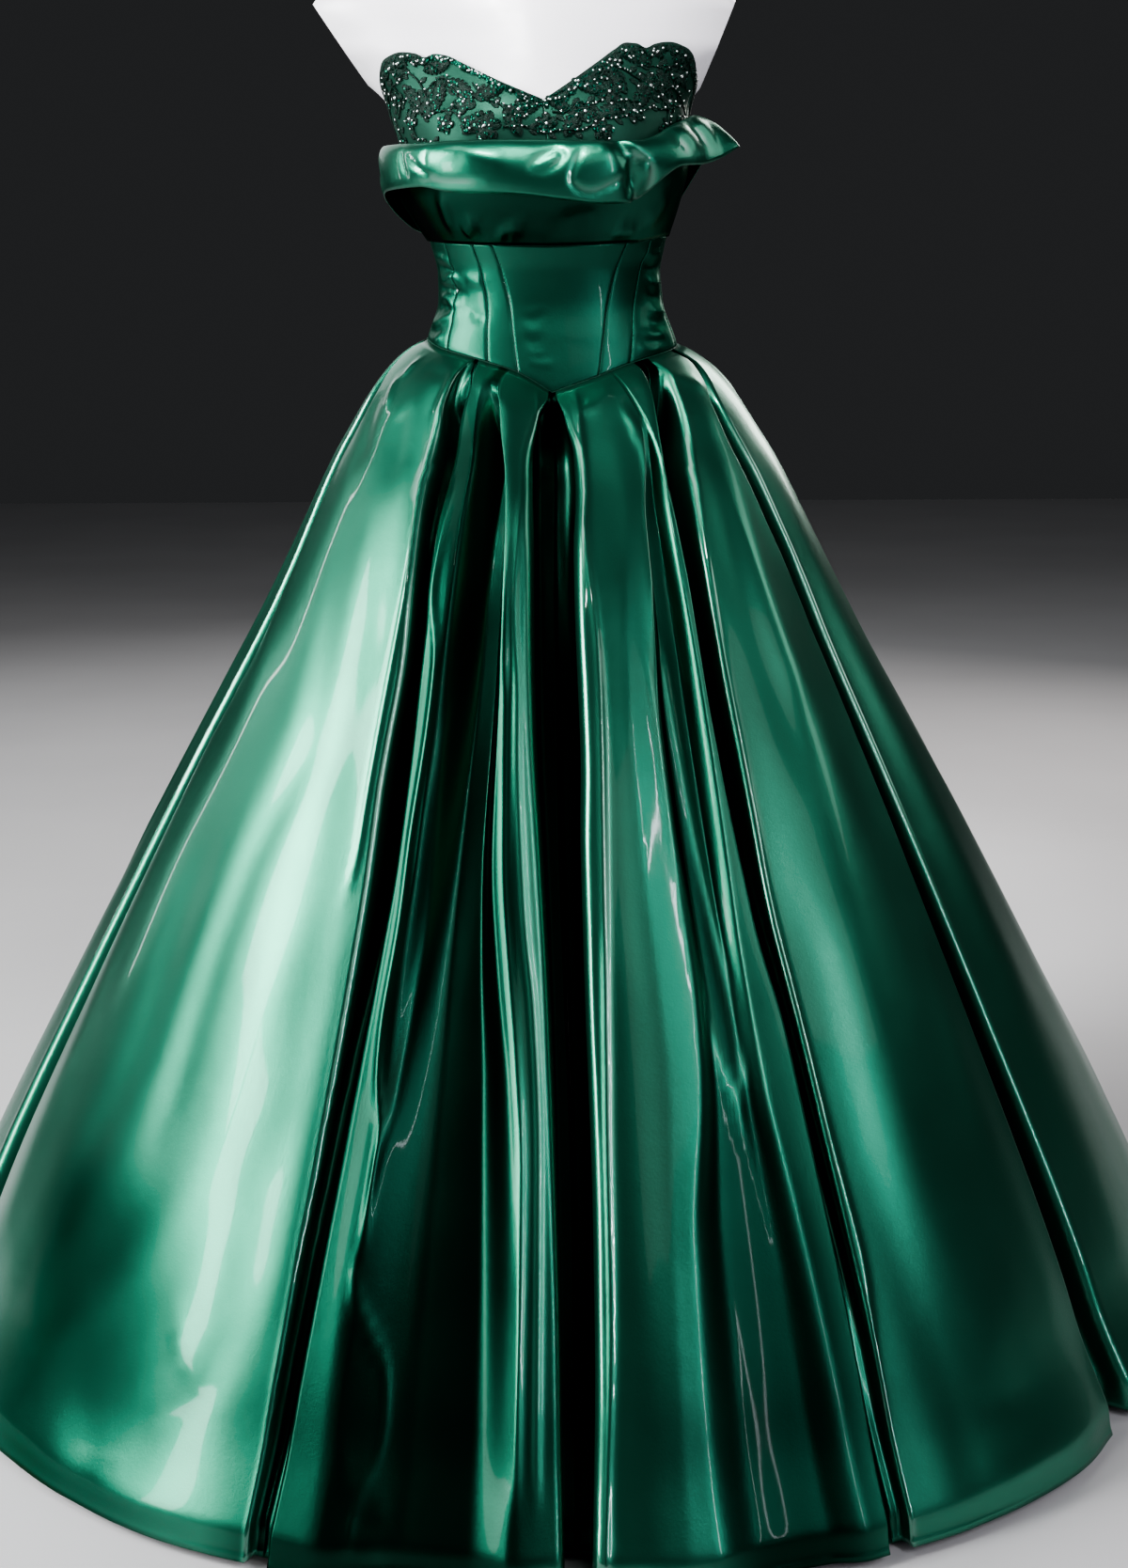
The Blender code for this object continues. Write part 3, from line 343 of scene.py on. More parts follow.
def basque(azimuth):
    return edge_height(BASQUE, azimuth, corner=0)


def figure_radius(azimuth, height):
    """From the middle of the figure's section to its surface."""
    angle = np.radians(azimuth)
    half_width, front, back, power = (
        table(FIGURE, name, height) for name in ("half_width", "front", "back", "power")
    )
    across = np.abs(np.sin(angle)) / half_width
    along = np.abs(np.cos(angle)) / np.where(np.cos(angle) > 0, front, back)
    radius = (across**power + along**power) ** (-1 / power)
    for side in (-1, 1):
        round_it = bell((wrapped(azimuth) - side * BUST_AZIMUTH) / BUST_SPREAD_DEG)
        radius = radius + BUST_RISE * bell((height - BUST_HEIGHT) / BUST_SPREAD) * round_it
    return radius


def polar(azimuth, radius, height, lean=0.0):
    """Points at a distance from the upright line through (lean, 0)."""
    angle, radius, height, lean = np.broadcast_arrays(np.radians(azimuth), radius, height, lean)
    return np.stack([lean + radius * np.sin(angle), -radius * np.cos(angle), height], axis=-1)


def on_figure(azimuth, height, out):
    return polar(azimuth, figure_radius(azimuth, height) + out, height, table(FIGURE, "lean", height))


def grid_normals(points):
    """Unit normals of a grid, facing out where a row runs towards +X at the front and rows go up."""
    return unit(np.cross(np.gradient(points, axis=1), np.gradient(points, axis=0)))


def lace_rise(azimuth, height):
    """How far the lace's leaves stand up from the cloth, from 0 to 1."""
    rise = np.zeros_like(azimuth)
    radius = figure_radius(azimuth, height)
    for leaf in LEAVES:
        across = np.radians(azimuth - leaf.azimuth) * radius
        up = height - (neckline(leaf.azimuth) - leaf.below)
        turn = np.radians(leaf.turn)
        along = across * np.sin(turn) + up * np.cos(turn)
        beside = across * np.cos(turn) - up * np.sin(turn)
        far = (2 * along / leaf.length) ** 2 + (2 * beside / leaf.width) ** 2
        rise = np.maximum(rise, ease(1.4 * (1.15 - far)))
    return rise


def drape_section(azimuth):
    """The turned-over band's section at each azimuth, as (out, height) pairs from the seam to the free edge.
    """
    bulge, fold_height, fold_out, free_height, edge_out = (
        table(DRAPE, name, azimuth, "azimuth") for name in Drape._fields[1:]
    )
    seam = underbust(azimuth) + SEAM_GAP
    rise, drop, reach = fold_height - seam, fold_height - free_height, edge_out - fold_out
    tight = np.maximum(DRAPE_NEAREST, fold_out - 0.005)
    outs = (
        DRAPE_START + 0 * azimuth, DRAPE_START + 0.55 * (bulge - DRAPE_START), bulge,
        np.maximum(tight, 0.5 * (bulge + tight)), tight, fold_out, fold_out + 0.30 * reach + 0.0025,
        fold_out + 0.62 * reach + 0.0030, edge_out,
    )
    heights = (
        seam, seam + 0.20 * rise, seam + 0.45 * rise, seam + 0.68 * rise, fold_height - 0.012, fold_height,
        fold_height - 0.16 * drop, fold_height - 0.55 * drop, free_height,
    )
    return np.array(outs), np.array(heights)


def tucked_section(azimuth):
    """The same with the deep crease that pinches the flap, from the fold down to the free edge."""
    outs, heights = drape_section(azimuth)
    flap = np.arange(len(outs))[:, None] >= 4
    share = np.clip((heights[5] - heights) / np.maximum(heights[5] - heights[-1], 1e-6), 0, 1)
    middle = TUCK_AZIMUTH[0] + (TUCK_AZIMUTH[1] - TUCK_AZIMUTH[0]) * share
    pinch = TUCK_DEPTH * bell(np.radians(azimuth - middle) * TUCK_RADIUS / TUCK_WIDTH) * flap
    pinch *= np.clip(TUCK_AT_FOLD + share, 0, 1)
    return np.where(flap, np.maximum(outs - pinch, DRAPE_NEAREST), outs), heights


def back_pleat(row):
    """A plain pleat, which opens from nothing at the waist and is as wide as its row says lower down."""
    folds = []
    for height, share, open_share, deep in (
        (1.065, 0, 0.25, 0.06), (1.00, 0.12, 0.8, 0.45), (0.92, 0.3, 1, 0.8), (0.80, 0.5, 1, 1),
        (0.55, 0.8, 1, 1), (0.00, 1, 0.9, 0.8),
    ):
        azimuth = row.waist + (row.hem - row.waist) * share
        half = np.degrees(row.half_width * open_share / table(FLARE, "radius", height))
        folds.append(Fold(height, azimuth - half, azimuth + half, row.depth * deep))
    return Pleat(row.left_turn, row.right_turn, row.overhang, row.seam, tuple(folds))


PLEATS = FRONT_PLEATS + tuple(back_pleat(row) for row in BACK_PLEATS)


def lips(pleat, height):
    """A pleat's middle and half its width, in degrees."""
    left, right = table(pleat.folds, "left", height), table(pleat.folds, "right", height)
    return (left + right) / 2, (right - left) / 2


def bare_skirt_radius(azimuth, height):
    """The skirt's radius with no pleat in it: the figure's section at the seam, and round lower down."""
    seam = basque(wrapped(azimuth))
    drop = np.maximum(seam - height, 0)
    waist = figure_radius(azimuth, seam) + FORM_GAP + CORSET_WALL / 2
    flared = waist + table(FLARE, "radius", SIDE_SEAM_HEIGHT - drop) - FLARE[-1].radius
    share = bell(drop / WAIST_BLEND)
    return share * flared + (1 - share) * table(FLARE, "radius", height)


def skirt_surface(azimuth, height, inside=False):
    """Points of the outer face of the pleated and creased skirt. With inside, also how dark each is painted:
    up to 1 as painted shade deep in a pleat and in the painted shadows, and down to -1 as a painted gleam."""
    radius = bare_skirt_radius(azimuth, height)
    drop = basque(wrapped(azimuth)) - height
    depth, sag, aside, painted_shade, gleam = np.zeros((5, *radius.shape))
    for pleat in PLEATS:
        middle, half = lips(pleat, height)
        off = wrapped(azimuth - middle) / half
        turn = 1 + np.where(off < 0, pleat.left_turn, pleat.right_turn)
        foot = SEWN_FOOT if pleat.seam else PLEAT_FOOT
        share = np.clip((np.abs(off) - foot) / (turn - foot), 0, 1)
        here = table(pleat.folds, "depth", height) * (1 + DEEPER * bell((height - DEEPER_HEIGHT) / 0.05))
        depth = np.maximum(depth, here * (1 - ease(share)))
        aside = aside + np.sign(off) * np.sin(2 * np.pi * share) * pleat.overhang * ease(here / 0.05)
        far = np.radians(half * np.maximum(np.abs(off) - 1, 0)) * radius
        sag = np.maximum(sag, bell(far / PANEL_SAG_REACH) * ease(here / 0.04))
        if not inside:
            continue
        # painted shade deep in each pleat
        pleat_shade = (1 if pleat.seam else SOFT_SHADE) * ease(here / 0.004)
        if pleat.seam and abs(pleat.folds[0].left) > MIDDLE_PLEATS:
            low = ease((LOW_LIGHT_TOP - height) / LOW_LIGHT_FALL)
            pleat_shade = pleat_shade * (1 - LOW_LIGHT * low * ease((off + 0.9) / 0.8))
        painted_shade = np.maximum(painted_shade, pleat_shade * (1 - ease(share / 0.9)))
        # a painted gleam along a sewn pleat's outer lip
        if pleat.seam:
            lip = np.radians(half * (np.abs(off) - turn)) * radius
            lit = np.where((off < 0) == (middle < 0), 1.0, 0.0) * ease(here / 0.02)
            gleam = np.maximum(gleam, lit * bell(lip / LIP_GLEAM))
    sag = sag * PANEL_SAG * ease(drop / PANEL_SAG_TOP)
    room = radius - sag - figure_radius(azimuth, np.maximum(height, HIPS)) - HIP_ROOM
    depth = np.where(height > HIPS_FOOT, np.minimum(depth, np.maximum(room, 0)), depth)
    roll = HEM_ROLL * ease((HEM_ROLL_TOP - height) / (HEM_ROLL_TOP - HEM_HEIGHT))
    flip = HEM_FLIP * bell((height - HEM_FLIP_HEIGHT) / HEM_FLIP_SPREAD)
    creases = lines_rise(azimuth, height, radius) + strokes_rise(SKIRT_STROKES, azimuth, height, radius)
    radius = radius - sag - depth - roll + flip + SKIRT_WALL / 2 + creases * ease(drop / CREASE_MARGIN)
    points = polar(azimuth + np.degrees(aside / radius), radius, height, table(FIGURE, "lean", height))
    if not inside:
        return points
    # the painted shade, lifted along the thin creases and pleat lips and turned there to a painted gleam
    gleam = np.maximum(gleam, gleam_of(azimuth, height, radius))
    return points, np.maximum(painted_shade, shade_of(azimuth, height)) * (1 - gleam) - gleam


# ---- Folds and creases that lie on the gown's form. Each raises the cloth, or sinks it where rise is
# negative. A line runs down the skirt and fades out past its ends, and a stroke is short and runs any way.
# A row has the rise and the width in tenths of a millimetre, a line's fade in centimetres, and then its
# azimuths and heights.
STROKE_REACH, STROKE_HALF_HEIGHT = 0.35, 0.25  # a stroke raises nothing farther from its middle
THIN = 0.0055  # a crease narrower than this gets a painted gleam
FULL_GLEAM = 0.0022  # and a lower line gets a weaker painted gleam
GLEAM_WIDER = 1.3  # the painted gleam's width in widths of the crease
Line = namedtuple("Line", "rise width fade path")
Stroke = namedtuple("Stroke", "rise width path")


def strokes(*values):
    return tuple(Stroke(rise / TENTHS, width / TENTHS, path_of(path)) for rise, width, *path in values)


LINES = tuple(Line(rise / TENTHS, width / TENTHS, fade / 100, path_of(path)) for rise, width, fade, *path in (
    # wearer's right: the broad bright panel
    (23, 220, 10, -51, 1005, -36.5, 895, -29.8, 772, -27.2, 670, -25.9, 553, -25.2, 440, -24.5, 250),
    (27, 340, 12, -75, 900, -69, 800, -60.7, 732, -58, 658, -59.4, 561, -58, 450),
    (-25, 260, 12, -54, 920, -43.4, 765, -39.8, 678, -42.4, 586, -43, 497, -42, 380),
    (-23, 300, 10, -52, 520, -50, 400, -51, 300, -54, 180),
    (20, 300, 10, -34, 460, -35, 330, -39, 220, -46, 120),
    (-18, 260, 8, -29, 300, -28, 175, -31, 110, -38, 60),
    (23, 300, 10, -69, 640, -67, 480, -64, 330, -62, 180),
    (19, 42, 5, -40.7, 1029, -36.4, 969, -33.8, 918, -31.2, 853, -29.2, 760, -26.6, 600),
    # the second panel, with its two thin lines that meet low down
    (26, 42, 5, -26, 900, -25, 840, -21.2, 775, -19.9, 692, -19.6, 621, -19, 525, -19.1, 467, -18.6, 413,
     -17.3, 363, -17.3, 300),
    (24, 42, 5, -17.4, 700, -16.4, 612, -16, 532, -16.2, 458, -16.5, 387, -17.2, 340),
    (19, 42, 4, -17.6, 240, -15, 190, -14, 170, -13.6, 120, -15, 60),
    (14, 160, 8, -30, 1010, -25, 940, -21.5, 860, -20, 760, -18.5, 640),
    # the third panel
    (42, 110, 4, -26, 1034, -17.2, 1010, -14.6, 970, -11.2, 916, -10.3, 864, -9.4, 780),
    (24, 42, 6, -8.1, 899, -7.8, 838, -6.1, 754, -5.4, 684, -4.5, 615, -3.4, 532, -2.4, 474, -1.6, 352, -1.5,
     119),
    (22, 42, 6, -9.7, 850, -8.3, 754, -7.4, 672, -6.5, 580, -5.3, 510, -4.2, 440, -3.2, 335, -3, 119),
    (-14, 160, 10, -9, 620, -7.6, 480, -6, 340, -5.6, 180),
    # the middle panel
    (26, 100, 6, 6, 930, 4.6, 874, 5.9, 777, 6, 730, 5.6, 660, 4.8, 560),
    (29, 42, 5, 10.5, 1015, 9.4, 985, 7.9, 930, 7.1, 898, 7.4, 849, 7.7, 801, 7.3, 730, 6.5, 637, 5.8, 531,
     4.9, 352, 4.5, 218, 3.9, 118, 3.4, 37),
    (-16, 220, 14, 15, 900, 12.5, 760, 11, 620, 10, 460, 9.6, 300),
    (16, 240, 14, 9.5, 800, 8.4, 640, 7.6, 440, 7, 240, 6.6, 100),
    (22, 42, 4, 29, 985, 25.6, 940, 22.4, 900, 20.3, 840),
    (20, 80, 3, 38.9, 1030, 35.3, 1004, 32.5, 975),
    # the narrow panel and the left ones
    (19, 42, 6, 37, 940, 34.9, 890, 32.6, 824, 31.2, 782, 29.9, 741, 29.3, 698, 28.1, 631, 27.5, 517, 27.6,
     403, 27.7, 260, 26.4, 157),
    (12, 42, 4, 16.2, 760, 16.2, 690, 15.9, 620, 16.7, 550, 16.9, 480, 17.4, 420, 18.4, 390),
    (12, 42, 4, 20.3, 760, 19.8, 620, 20.2, 520, 20.6, 460, 20, 410, 18.7, 385),
    (-18, 240, 12, 17.5, 300, 17.4, 200, 17.2, 90, 17.2, 20),
    (23, 200, 6, 60, 1035, 56, 1008, 54, 982, 50.6, 936, 48.7, 901, 45.4, 840, 44, 760),
    (-20, 180, 8, 47, 960, 42.6, 880, 40, 800, 38.6, 700),
    (25, 300, 14, 43, 740, 41.8, 656, 39.1, 544, 37.6, 418, 36.5, 295, 37.9, 167),
    (-23, 300, 14, 49, 620, 47, 480, 44, 340, 45, 180),
    (-23, 260, 12, 32, 480, 31, 340, 31.6, 200, 33, 80),
    (18, 300, 12, 74, 900, 71, 760, 68, 600, 67, 440),
    (-18, 300, 12, 64, 700, 62, 500, 60, 300, 59, 120),
    (20, 360, 12, 82, 560, 79, 400, 76, 240, 75, 100),
    # behind
    (23, 340, 14, 95, 960, 92, 800, 91, 620, 92, 440, 90, 260),
    (-23, 300, 12, 84, 700, 86, 520, 87, 340, 86, 140),
    (23, 300, 12, 114, 940, 113, 780, 111, 600, 112, 400, 110, 200),
    (22, 80, 8, 119, 900, 117, 760, 117.5, 600, 116, 420, 116.5, 260),
    (20, 300, 14, 139, 960, 138, 800, 141, 600, 140, 380, 139, 160),
    (-20, 240, 12, 145, 720, 146, 520, 145, 300, 146, 120),
    (23, 280, 12, 163, 900, 165, 740, 164, 560, 166, 360, 165, 180),
    (21, 80, 6, 168, 860, 169.5, 700, 169, 520, 170.5, 340),
    (23, 300, 12, -166, 920, -165, 740, -167, 540, -165, 340, -166, 160),
    (-23, 300, 12, -158, 640, -159, 460, -158, 300, -160, 100),
    (25, 320, 14, -136, 960, -134, 800, -132, 600, -133, 420, -131, 200),
    (21, 80, 8, -140, 920, -139, 780, -140, 600, -138.5, 420),
    (-20, 280, 12, -124, 700, -121, 500, -120, 300, -119, 120),
    (23, 340, 14, -102, 940, -100, 780, -98, 580, -97, 380, -95, 180),
    (-20, 300, 12, -90, 620, -89, 440, -87, 260, -86, 110),
    (22, 80, 8, -92, 980, -90, 860, -88, 700, -87, 540),
))
SKIRT_STROKES = strokes(
    # the flat-topped loops under the waist seam
    (31, 48, -65.5, 1059, -65, 1050, -63.5, 1043), (26, 48, -81, 1052, -80, 1043, -78, 1034),
    (29, 48, -68, 1043, -65, 1026, -62, 1010), (-24, 48, -60, 1052, -52, 1046, -45, 1043),
    (26, 48, -48, 1054, -43.5, 1040, -41.5, 1012, -39.6, 990), (-30, 110, -74, 1030, -66, 985, -58, 940),
    (-30, 130, -56, 1020, -49, 975, -44, 930),
    (16, 50, -38.5, 1052, -30, 1036, -27.7, 1027, -22, 994, -24, 975),
    (14, 35, -11, 1036, -8, 1030, -5, 1018), (12, 30, -9, 1026, -6.5, 1020, -6, 1008, -3.6, 1012),
    (12, 30, -6.6, 1004, -4.6, 996), (22, 50, 28.4, 1036, 22, 1022, 16, 1012, 10.6, 1010),
    (-16, 60, 20, 1026, 14, 1020, 10, 1022), (10, 30, 17, 1020, 14, 1012, 12, 1002),
    (20, 50, 27.2, 1014, 27.4, 993, 26.4, 972), (30, 80, 50.6, 1050, 56, 1040, 64, 1030),
    (24, 60, 58, 1058, 66, 1060, 74, 1062), (22, 80, 95, 1060, 92, 1040, 91, 1015),
    (22, 80, 120, 1062, 118, 1045, 117, 1020), (22, 70, 141, 1062, 139, 1045, 140, 1015),
    (22, 80, 166, 1062, 165, 1045, 163, 1020), (22, 80, -164, 1062, -166, 1042, -165, 1020),
    (22, 70, -134, 1062, -136, 1044, -138, 1020), (22, 80, -104, 1062, -105, 1046, -107, 1020),
    # low down
    (30, 300, -47, 40, -36, 30, -26, 24), (-15, 240, -44, 90, -38, 80, -30, 74),
    (20, 80, -33.6, 184, -31, 157, -28.7, 138), (15, 180, -17, 110, -14.6, 80, -11, 66),
    (12, 60, -16.6, 120, -15.8, 85, -13.6, 68, -12.6, 48), (25, 220, 31, 60, 36, 52, 42, 48),
    (-15, 160, 33, 95, 38, 88, 43, 86), (-15, 140, 4.2, 80, 4.6, 55, 5.2, 36),
    (30, 260, 100, 60, 112, 50, 122, 52), (25, 260, 136, 50, 146, 54), (30, 260, -172, 55, -160, 48),
    (25, 260, -140, 52, -126, 50), (30, 260, -106, 55, -92, 48, -80, 50),
)
CORSET_STROKES = strokes(
    (24, 45, -80, 1168, -69, 1165, -60, 1158), (-24, 45, -78, 1157, -68, 1155, -58, 1149),
    (27, 48, -76, 1146, -69, 1141, -62, 1146, -56, 1140), (-30, 50, -78, 1135, -66, 1133, -54, 1128),
    (27, 45, -76, 1122, -68, 1124, -62, 1117, -56, 1116), (-21, 45, -78, 1112, -70, 1114, -63, 1107),
    (27, 50, -84, 1100, -74, 1098, -65, 1104, -58, 1108), (-18, 50, -82, 1089, -74, 1088, -66, 1092),
    (21, 50, -72, 1080, -64, 1082), (15, 60, -52, 1146, -45, 1140, -40, 1141),
    (-15, 60, -50, 1110, -44, 1103, -39, 1104), (4, 32, -18, 1112, -12, 1110, -6, 1113, -2, 1112),
    (-4, 34, -17.5, 1104, -10, 1101, -4, 1105), (4, 32, -17, 1093, -11, 1089, -5, 1091),
    (-4, 36, -17, 1083, -11, 1078, -5, 1081), (4, 34, -16, 1071, -10, 1066, -3, 1068),
    (6, 40, -15, 1062, -9, 1056, -2, 1055, 3, 1057), (24, 48, 58, 1172, 66, 1168, 76, 1171),
    (-21, 44, 60, 1158, 68, 1154, 78, 1158), (24, 46, 62, 1142, 69, 1138, 78, 1141),
    (-24, 46, 62, 1128, 70, 1124, 78, 1126), (24, 48, 62, 1113, 70, 1109, 80, 1112),
    (-21, 46, 58, 1099, 68, 1095, 78, 1099), (23, 50, 52, 1088, 60, 1084, 70, 1087),
    (21, 55, 48, 1074, 56, 1069, 64, 1073), (14, 50, 95, 1150, 106, 1146, 116, 1149),
    (-14, 50, 94, 1136, 104, 1132, 114, 1136), (14, 55, 96, 1118, 108, 1116, 118, 1121),
    (14, 55, 128, 1132, 140, 1128, 152, 1131), (-14, 50, 126, 1116, 138, 1113, 150, 1117),
    (14, 55, 150, 1104, 162, 1100, 172, 1103), (14, 55, -172, 1126, -160, 1122, -148, 1127),
    (-14, 50, -170, 1110, -158, 1106, -144, 1110), (14, 55, -134, 1136, -122, 1132, -112, 1137),
    (-14, 50, -132, 1118, -120, 1116, -108, 1121), (14, 55, -112, 1158, -102, 1152, -92, 1156),
    (14, 55, -110, 1104, -100, 1102, -90, 1106),
)
DRAPE_STROKES = strokes(
    (16, 36, -3.5, 1249, -4.6, 1254, -1.5, 1262, 4.5, 1269, 7.6, 1266, 5.5, 1257, 0.5, 1249, -3.5, 1249),
    (18, 36, -56.9, 1273, -54, 1258, -52, 1244),
    (23, 36, -55, 1270, -48, 1259, -42.2, 1248, -38.6, 1245),
    (12, 36, -42, 1272, -43, 1262, -41, 1254),
    (18, 36, -48, 1242.5, -36, 1239, -22, 1237.5),
    (19, 36, 20, 1272, 14.7, 1269, 11.9, 1257, 9.9, 1240, 13.3, 1230, 18.7, 1229, 25, 1237, 29, 1241, 36,
     1228),
    (23, 36, 29.5, 1276, 34.1, 1265, 39, 1255, 41, 1238, 40, 1226),
    (-17, 80, -30, 1268, -20, 1262, -12, 1258),
    (15, 90, 47, 1288, 54, 1282, 58, 1268),
    (-15, 100, 52, 1296, 58, 1288, 63, 1272),
    (17, 100, 60, 1302, 66, 1292, 69, 1276),
    (-14, 90, 67, 1306, 72, 1296, 75, 1282),
    (14, 80, 100, 1268, 112, 1240, 122, 1222),
    (14, 90, 130, 1256, 144, 1240, 156, 1222),
    (-14, 90, 140, 1266, 154, 1256, 168, 1246),
    (14, 90, -172, 1252, -158, 1242, -146, 1226),
    (-14, 90, -150, 1262, -136, 1252, -124, 1236),
    (14, 80, -120, 1262, -108, 1246, -98, 1234),
    (14, 80, -92, 1268, -82, 1256, -74, 1246),
)
UNDER_STROKES = strokes(
    (30, 70, -44, 1232, -46, 1214, -49, 1190), (34, 70, -43, 1188, -38, 1196, -33, 1204),
    (30, 40, -30, 1180, -25, 1184, -22, 1190, -16, 1196, -10.7, 1202),
    (24, 40, -20, 1181, -17, 1188, -12, 1194), (40, 140, 33, 1192, 41, 1186, 48, 1190),
    (36, 120, 50, 1196, 56, 1212, 61, 1235), (-30, 110, 5, 1196, 15, 1204, 26, 1208),
)


def run_through(path, steps=6):
    """The smooth curve through the points, as a row of closer points."""
    path = np.array(path, float)
    ends = np.vstack([2 * path[0] - path[1], path, 2 * path[-1] - path[-2]])
    found = []
    for i in range(len(path) - 1):
        a, b, c, d = ends[i : i + 4]
        for t in np.arange(steps) / steps:
            bend = (2 * a - 5 * b + 4 * c - d) * t**2 + (3 * b - a - 3 * c + d) * t**3
            found.append(0.5 * (2 * b + (c - a) * t + bend))
    return np.array([*found, path[-1]])


def stroke_rise(stroke, azimuth, height, radius):
    """How far a stroke raises each point."""
    path = run_through(stroke.path)
    middle, level = path[len(path) // 2]
    near = np.abs(wrapped(azimuth - middle)) * np.radians(1) * radius < STROKE_REACH
    near &= np.abs(height - level) < STROKE_HALF_HEIGHT
    found = np.zeros_like(azimuth)
    if not near.any():
        return found
    reach = np.median(radius[near])
    here = np.stack([np.radians(wrapped(azimuth[near] - middle)) * reach, height[near]], axis=-1)
    line = np.stack([np.radians(wrapped(path[:, 0] - middle)) * reach, path[:, 1]], axis=-1)
    steps = np.diff(line, axis=0)
    lengths = np.linalg.norm(steps, axis=-1)
    before = np.concatenate([[0], np.cumsum(lengths)])
    best = np.full(here.shape[0], 1e9)
    place = np.zeros_like(best)
    for start, step, length, gone in zip(line, steps, lengths, before):
        t = np.clip(((here - start) @ step) / length**2, 0, 1)
        far = np.linalg.norm(here - start - t[:, None] * step, axis=-1)
        nearer = far < best
        best = np.where(nearer, far, best)
        place = np.where(nearer, (gone + t * length) / before[-1], place)
    ends = 0.25 + 0.75 * ease(place / 0.3) * ease((1 - place) / 0.3)
    found[near] = stroke.rise * ends * bell(best / stroke.width)
    return found


def strokes_rise(drawn, azimuth, height, radius):
    return sum(stroke_rise(stroke, azimuth, height, radius) for stroke in drawn)


def line_rise(line, azimuth, height, radius):
    """How far a line raises each point."""
    places, heights = np.array(line.path).T
    aside = np.radians(wrapped(azimuth - smooth(height, heights, places))) * radius
    ends = ease((height - heights[-1] + line.fade) / line.fade)
    ends = ends * ease((heights[0] + line.fade - height) / line.fade)
    return line.rise * ends * bell(aside / line.width)


def lines_rise(azimuth, height, radius):
    return sum(line_rise(line, azimuth, height, radius) for line in LINES)


# Painted shadow on parts of the skirt that hang back in the shadow of the panels beside them: how much
# darker they are painted, and their middles and half widths in degrees from top to foot
Band = namedtuple("Band", "height azimuth half_width")
SHADES = tuple((share, rows(Band, (MM, 1, 1), *bands)) for share, *bands in (
    (0.86, (1035, -31, 4), (980, -27, 4), (900, -24.0, 4.8), (780, -20.4, 5.2), (620, -18.2, 6.0),
     (420, -17.5, 6.8), (200, -17.5, 7.1), (0, -17.5, 7.1)),
    (0.86, (860, -10.4, 1.8), (760, -9.4, 2.4), (660, -8.6, 2.9), (560, -8.0, 3.8), (480, -7.8, 5.0),
     (360, -8, 6.5), (180, -8.0, 7.6), (0, -8.0, 7.6)),
    (0.92, (800, 18.6, 1.0), (620, 18, 1.7), (500, 18.4, 2.0), (400, 18.4, 2.6), (300, 18, 5.0),
     (200, 17.8, 6.4), (0, 17.6, 6.8)),
    (0.26, (520, 9, 6), (300, 10, 7), (0, 10, 8)),
    (0.40, (860, 15.5, 2.2), (700, 13.4, 2.8), (550, 12.8, 3.2), (420, 12.6, 3.2), (280, 12.2, 3.6)),
    (0.56, (300, -46, 9), (200, -44, 11), (130, -42, 12), (60, -41, 12), (0, -41, 12)),
))


# the painted shadow from SHADES at each point, from 0 to 1
def shade_of(azimuth, height):
    found = np.zeros_like(azimuth)
    for share, bands in SHADES:
        aside = wrapped(azimuth - table(bands, "azimuth", height)) / table(bands, "half_width", height)
        top, foot = bands[0].height, bands[-1].height
        ends = ease((top + 0.02 - height) / 0.08) * ease((height + 0.06 - foot) / 0.06)
        found = np.maximum(found, share * ends * bell(aside, 4))
    return found


def gleam_of(azimuth, height, radius):
    """How near each point lies to one of the thin creases, from 0 to 1, as a painted gleam along them."""
    found = np.zeros_like(azimuth)
    for crease in (*LINES, *SKIRT_STROKES):
        if crease.width < THIN:
            is_line = isinstance(crease, Line)
            full = min(1, (crease.rise / FULL_GLEAM) ** 2) if is_line else 1
            wide = crease._replace(rise=full, width=GLEAM_WIDER * crease.width)
            rise = (line_rise if is_line else stroke_rise)(wide, azimuth, height, radius)
            found = np.maximum(found, rise)
    place = wrapped(azimuth)  # the painted gleam is strongest on the wearer's left half and far right
    return found * (0.1 + 0.9 * ease((place + 6) / 8) + 0.7 * ease((-40 - place) / 6))


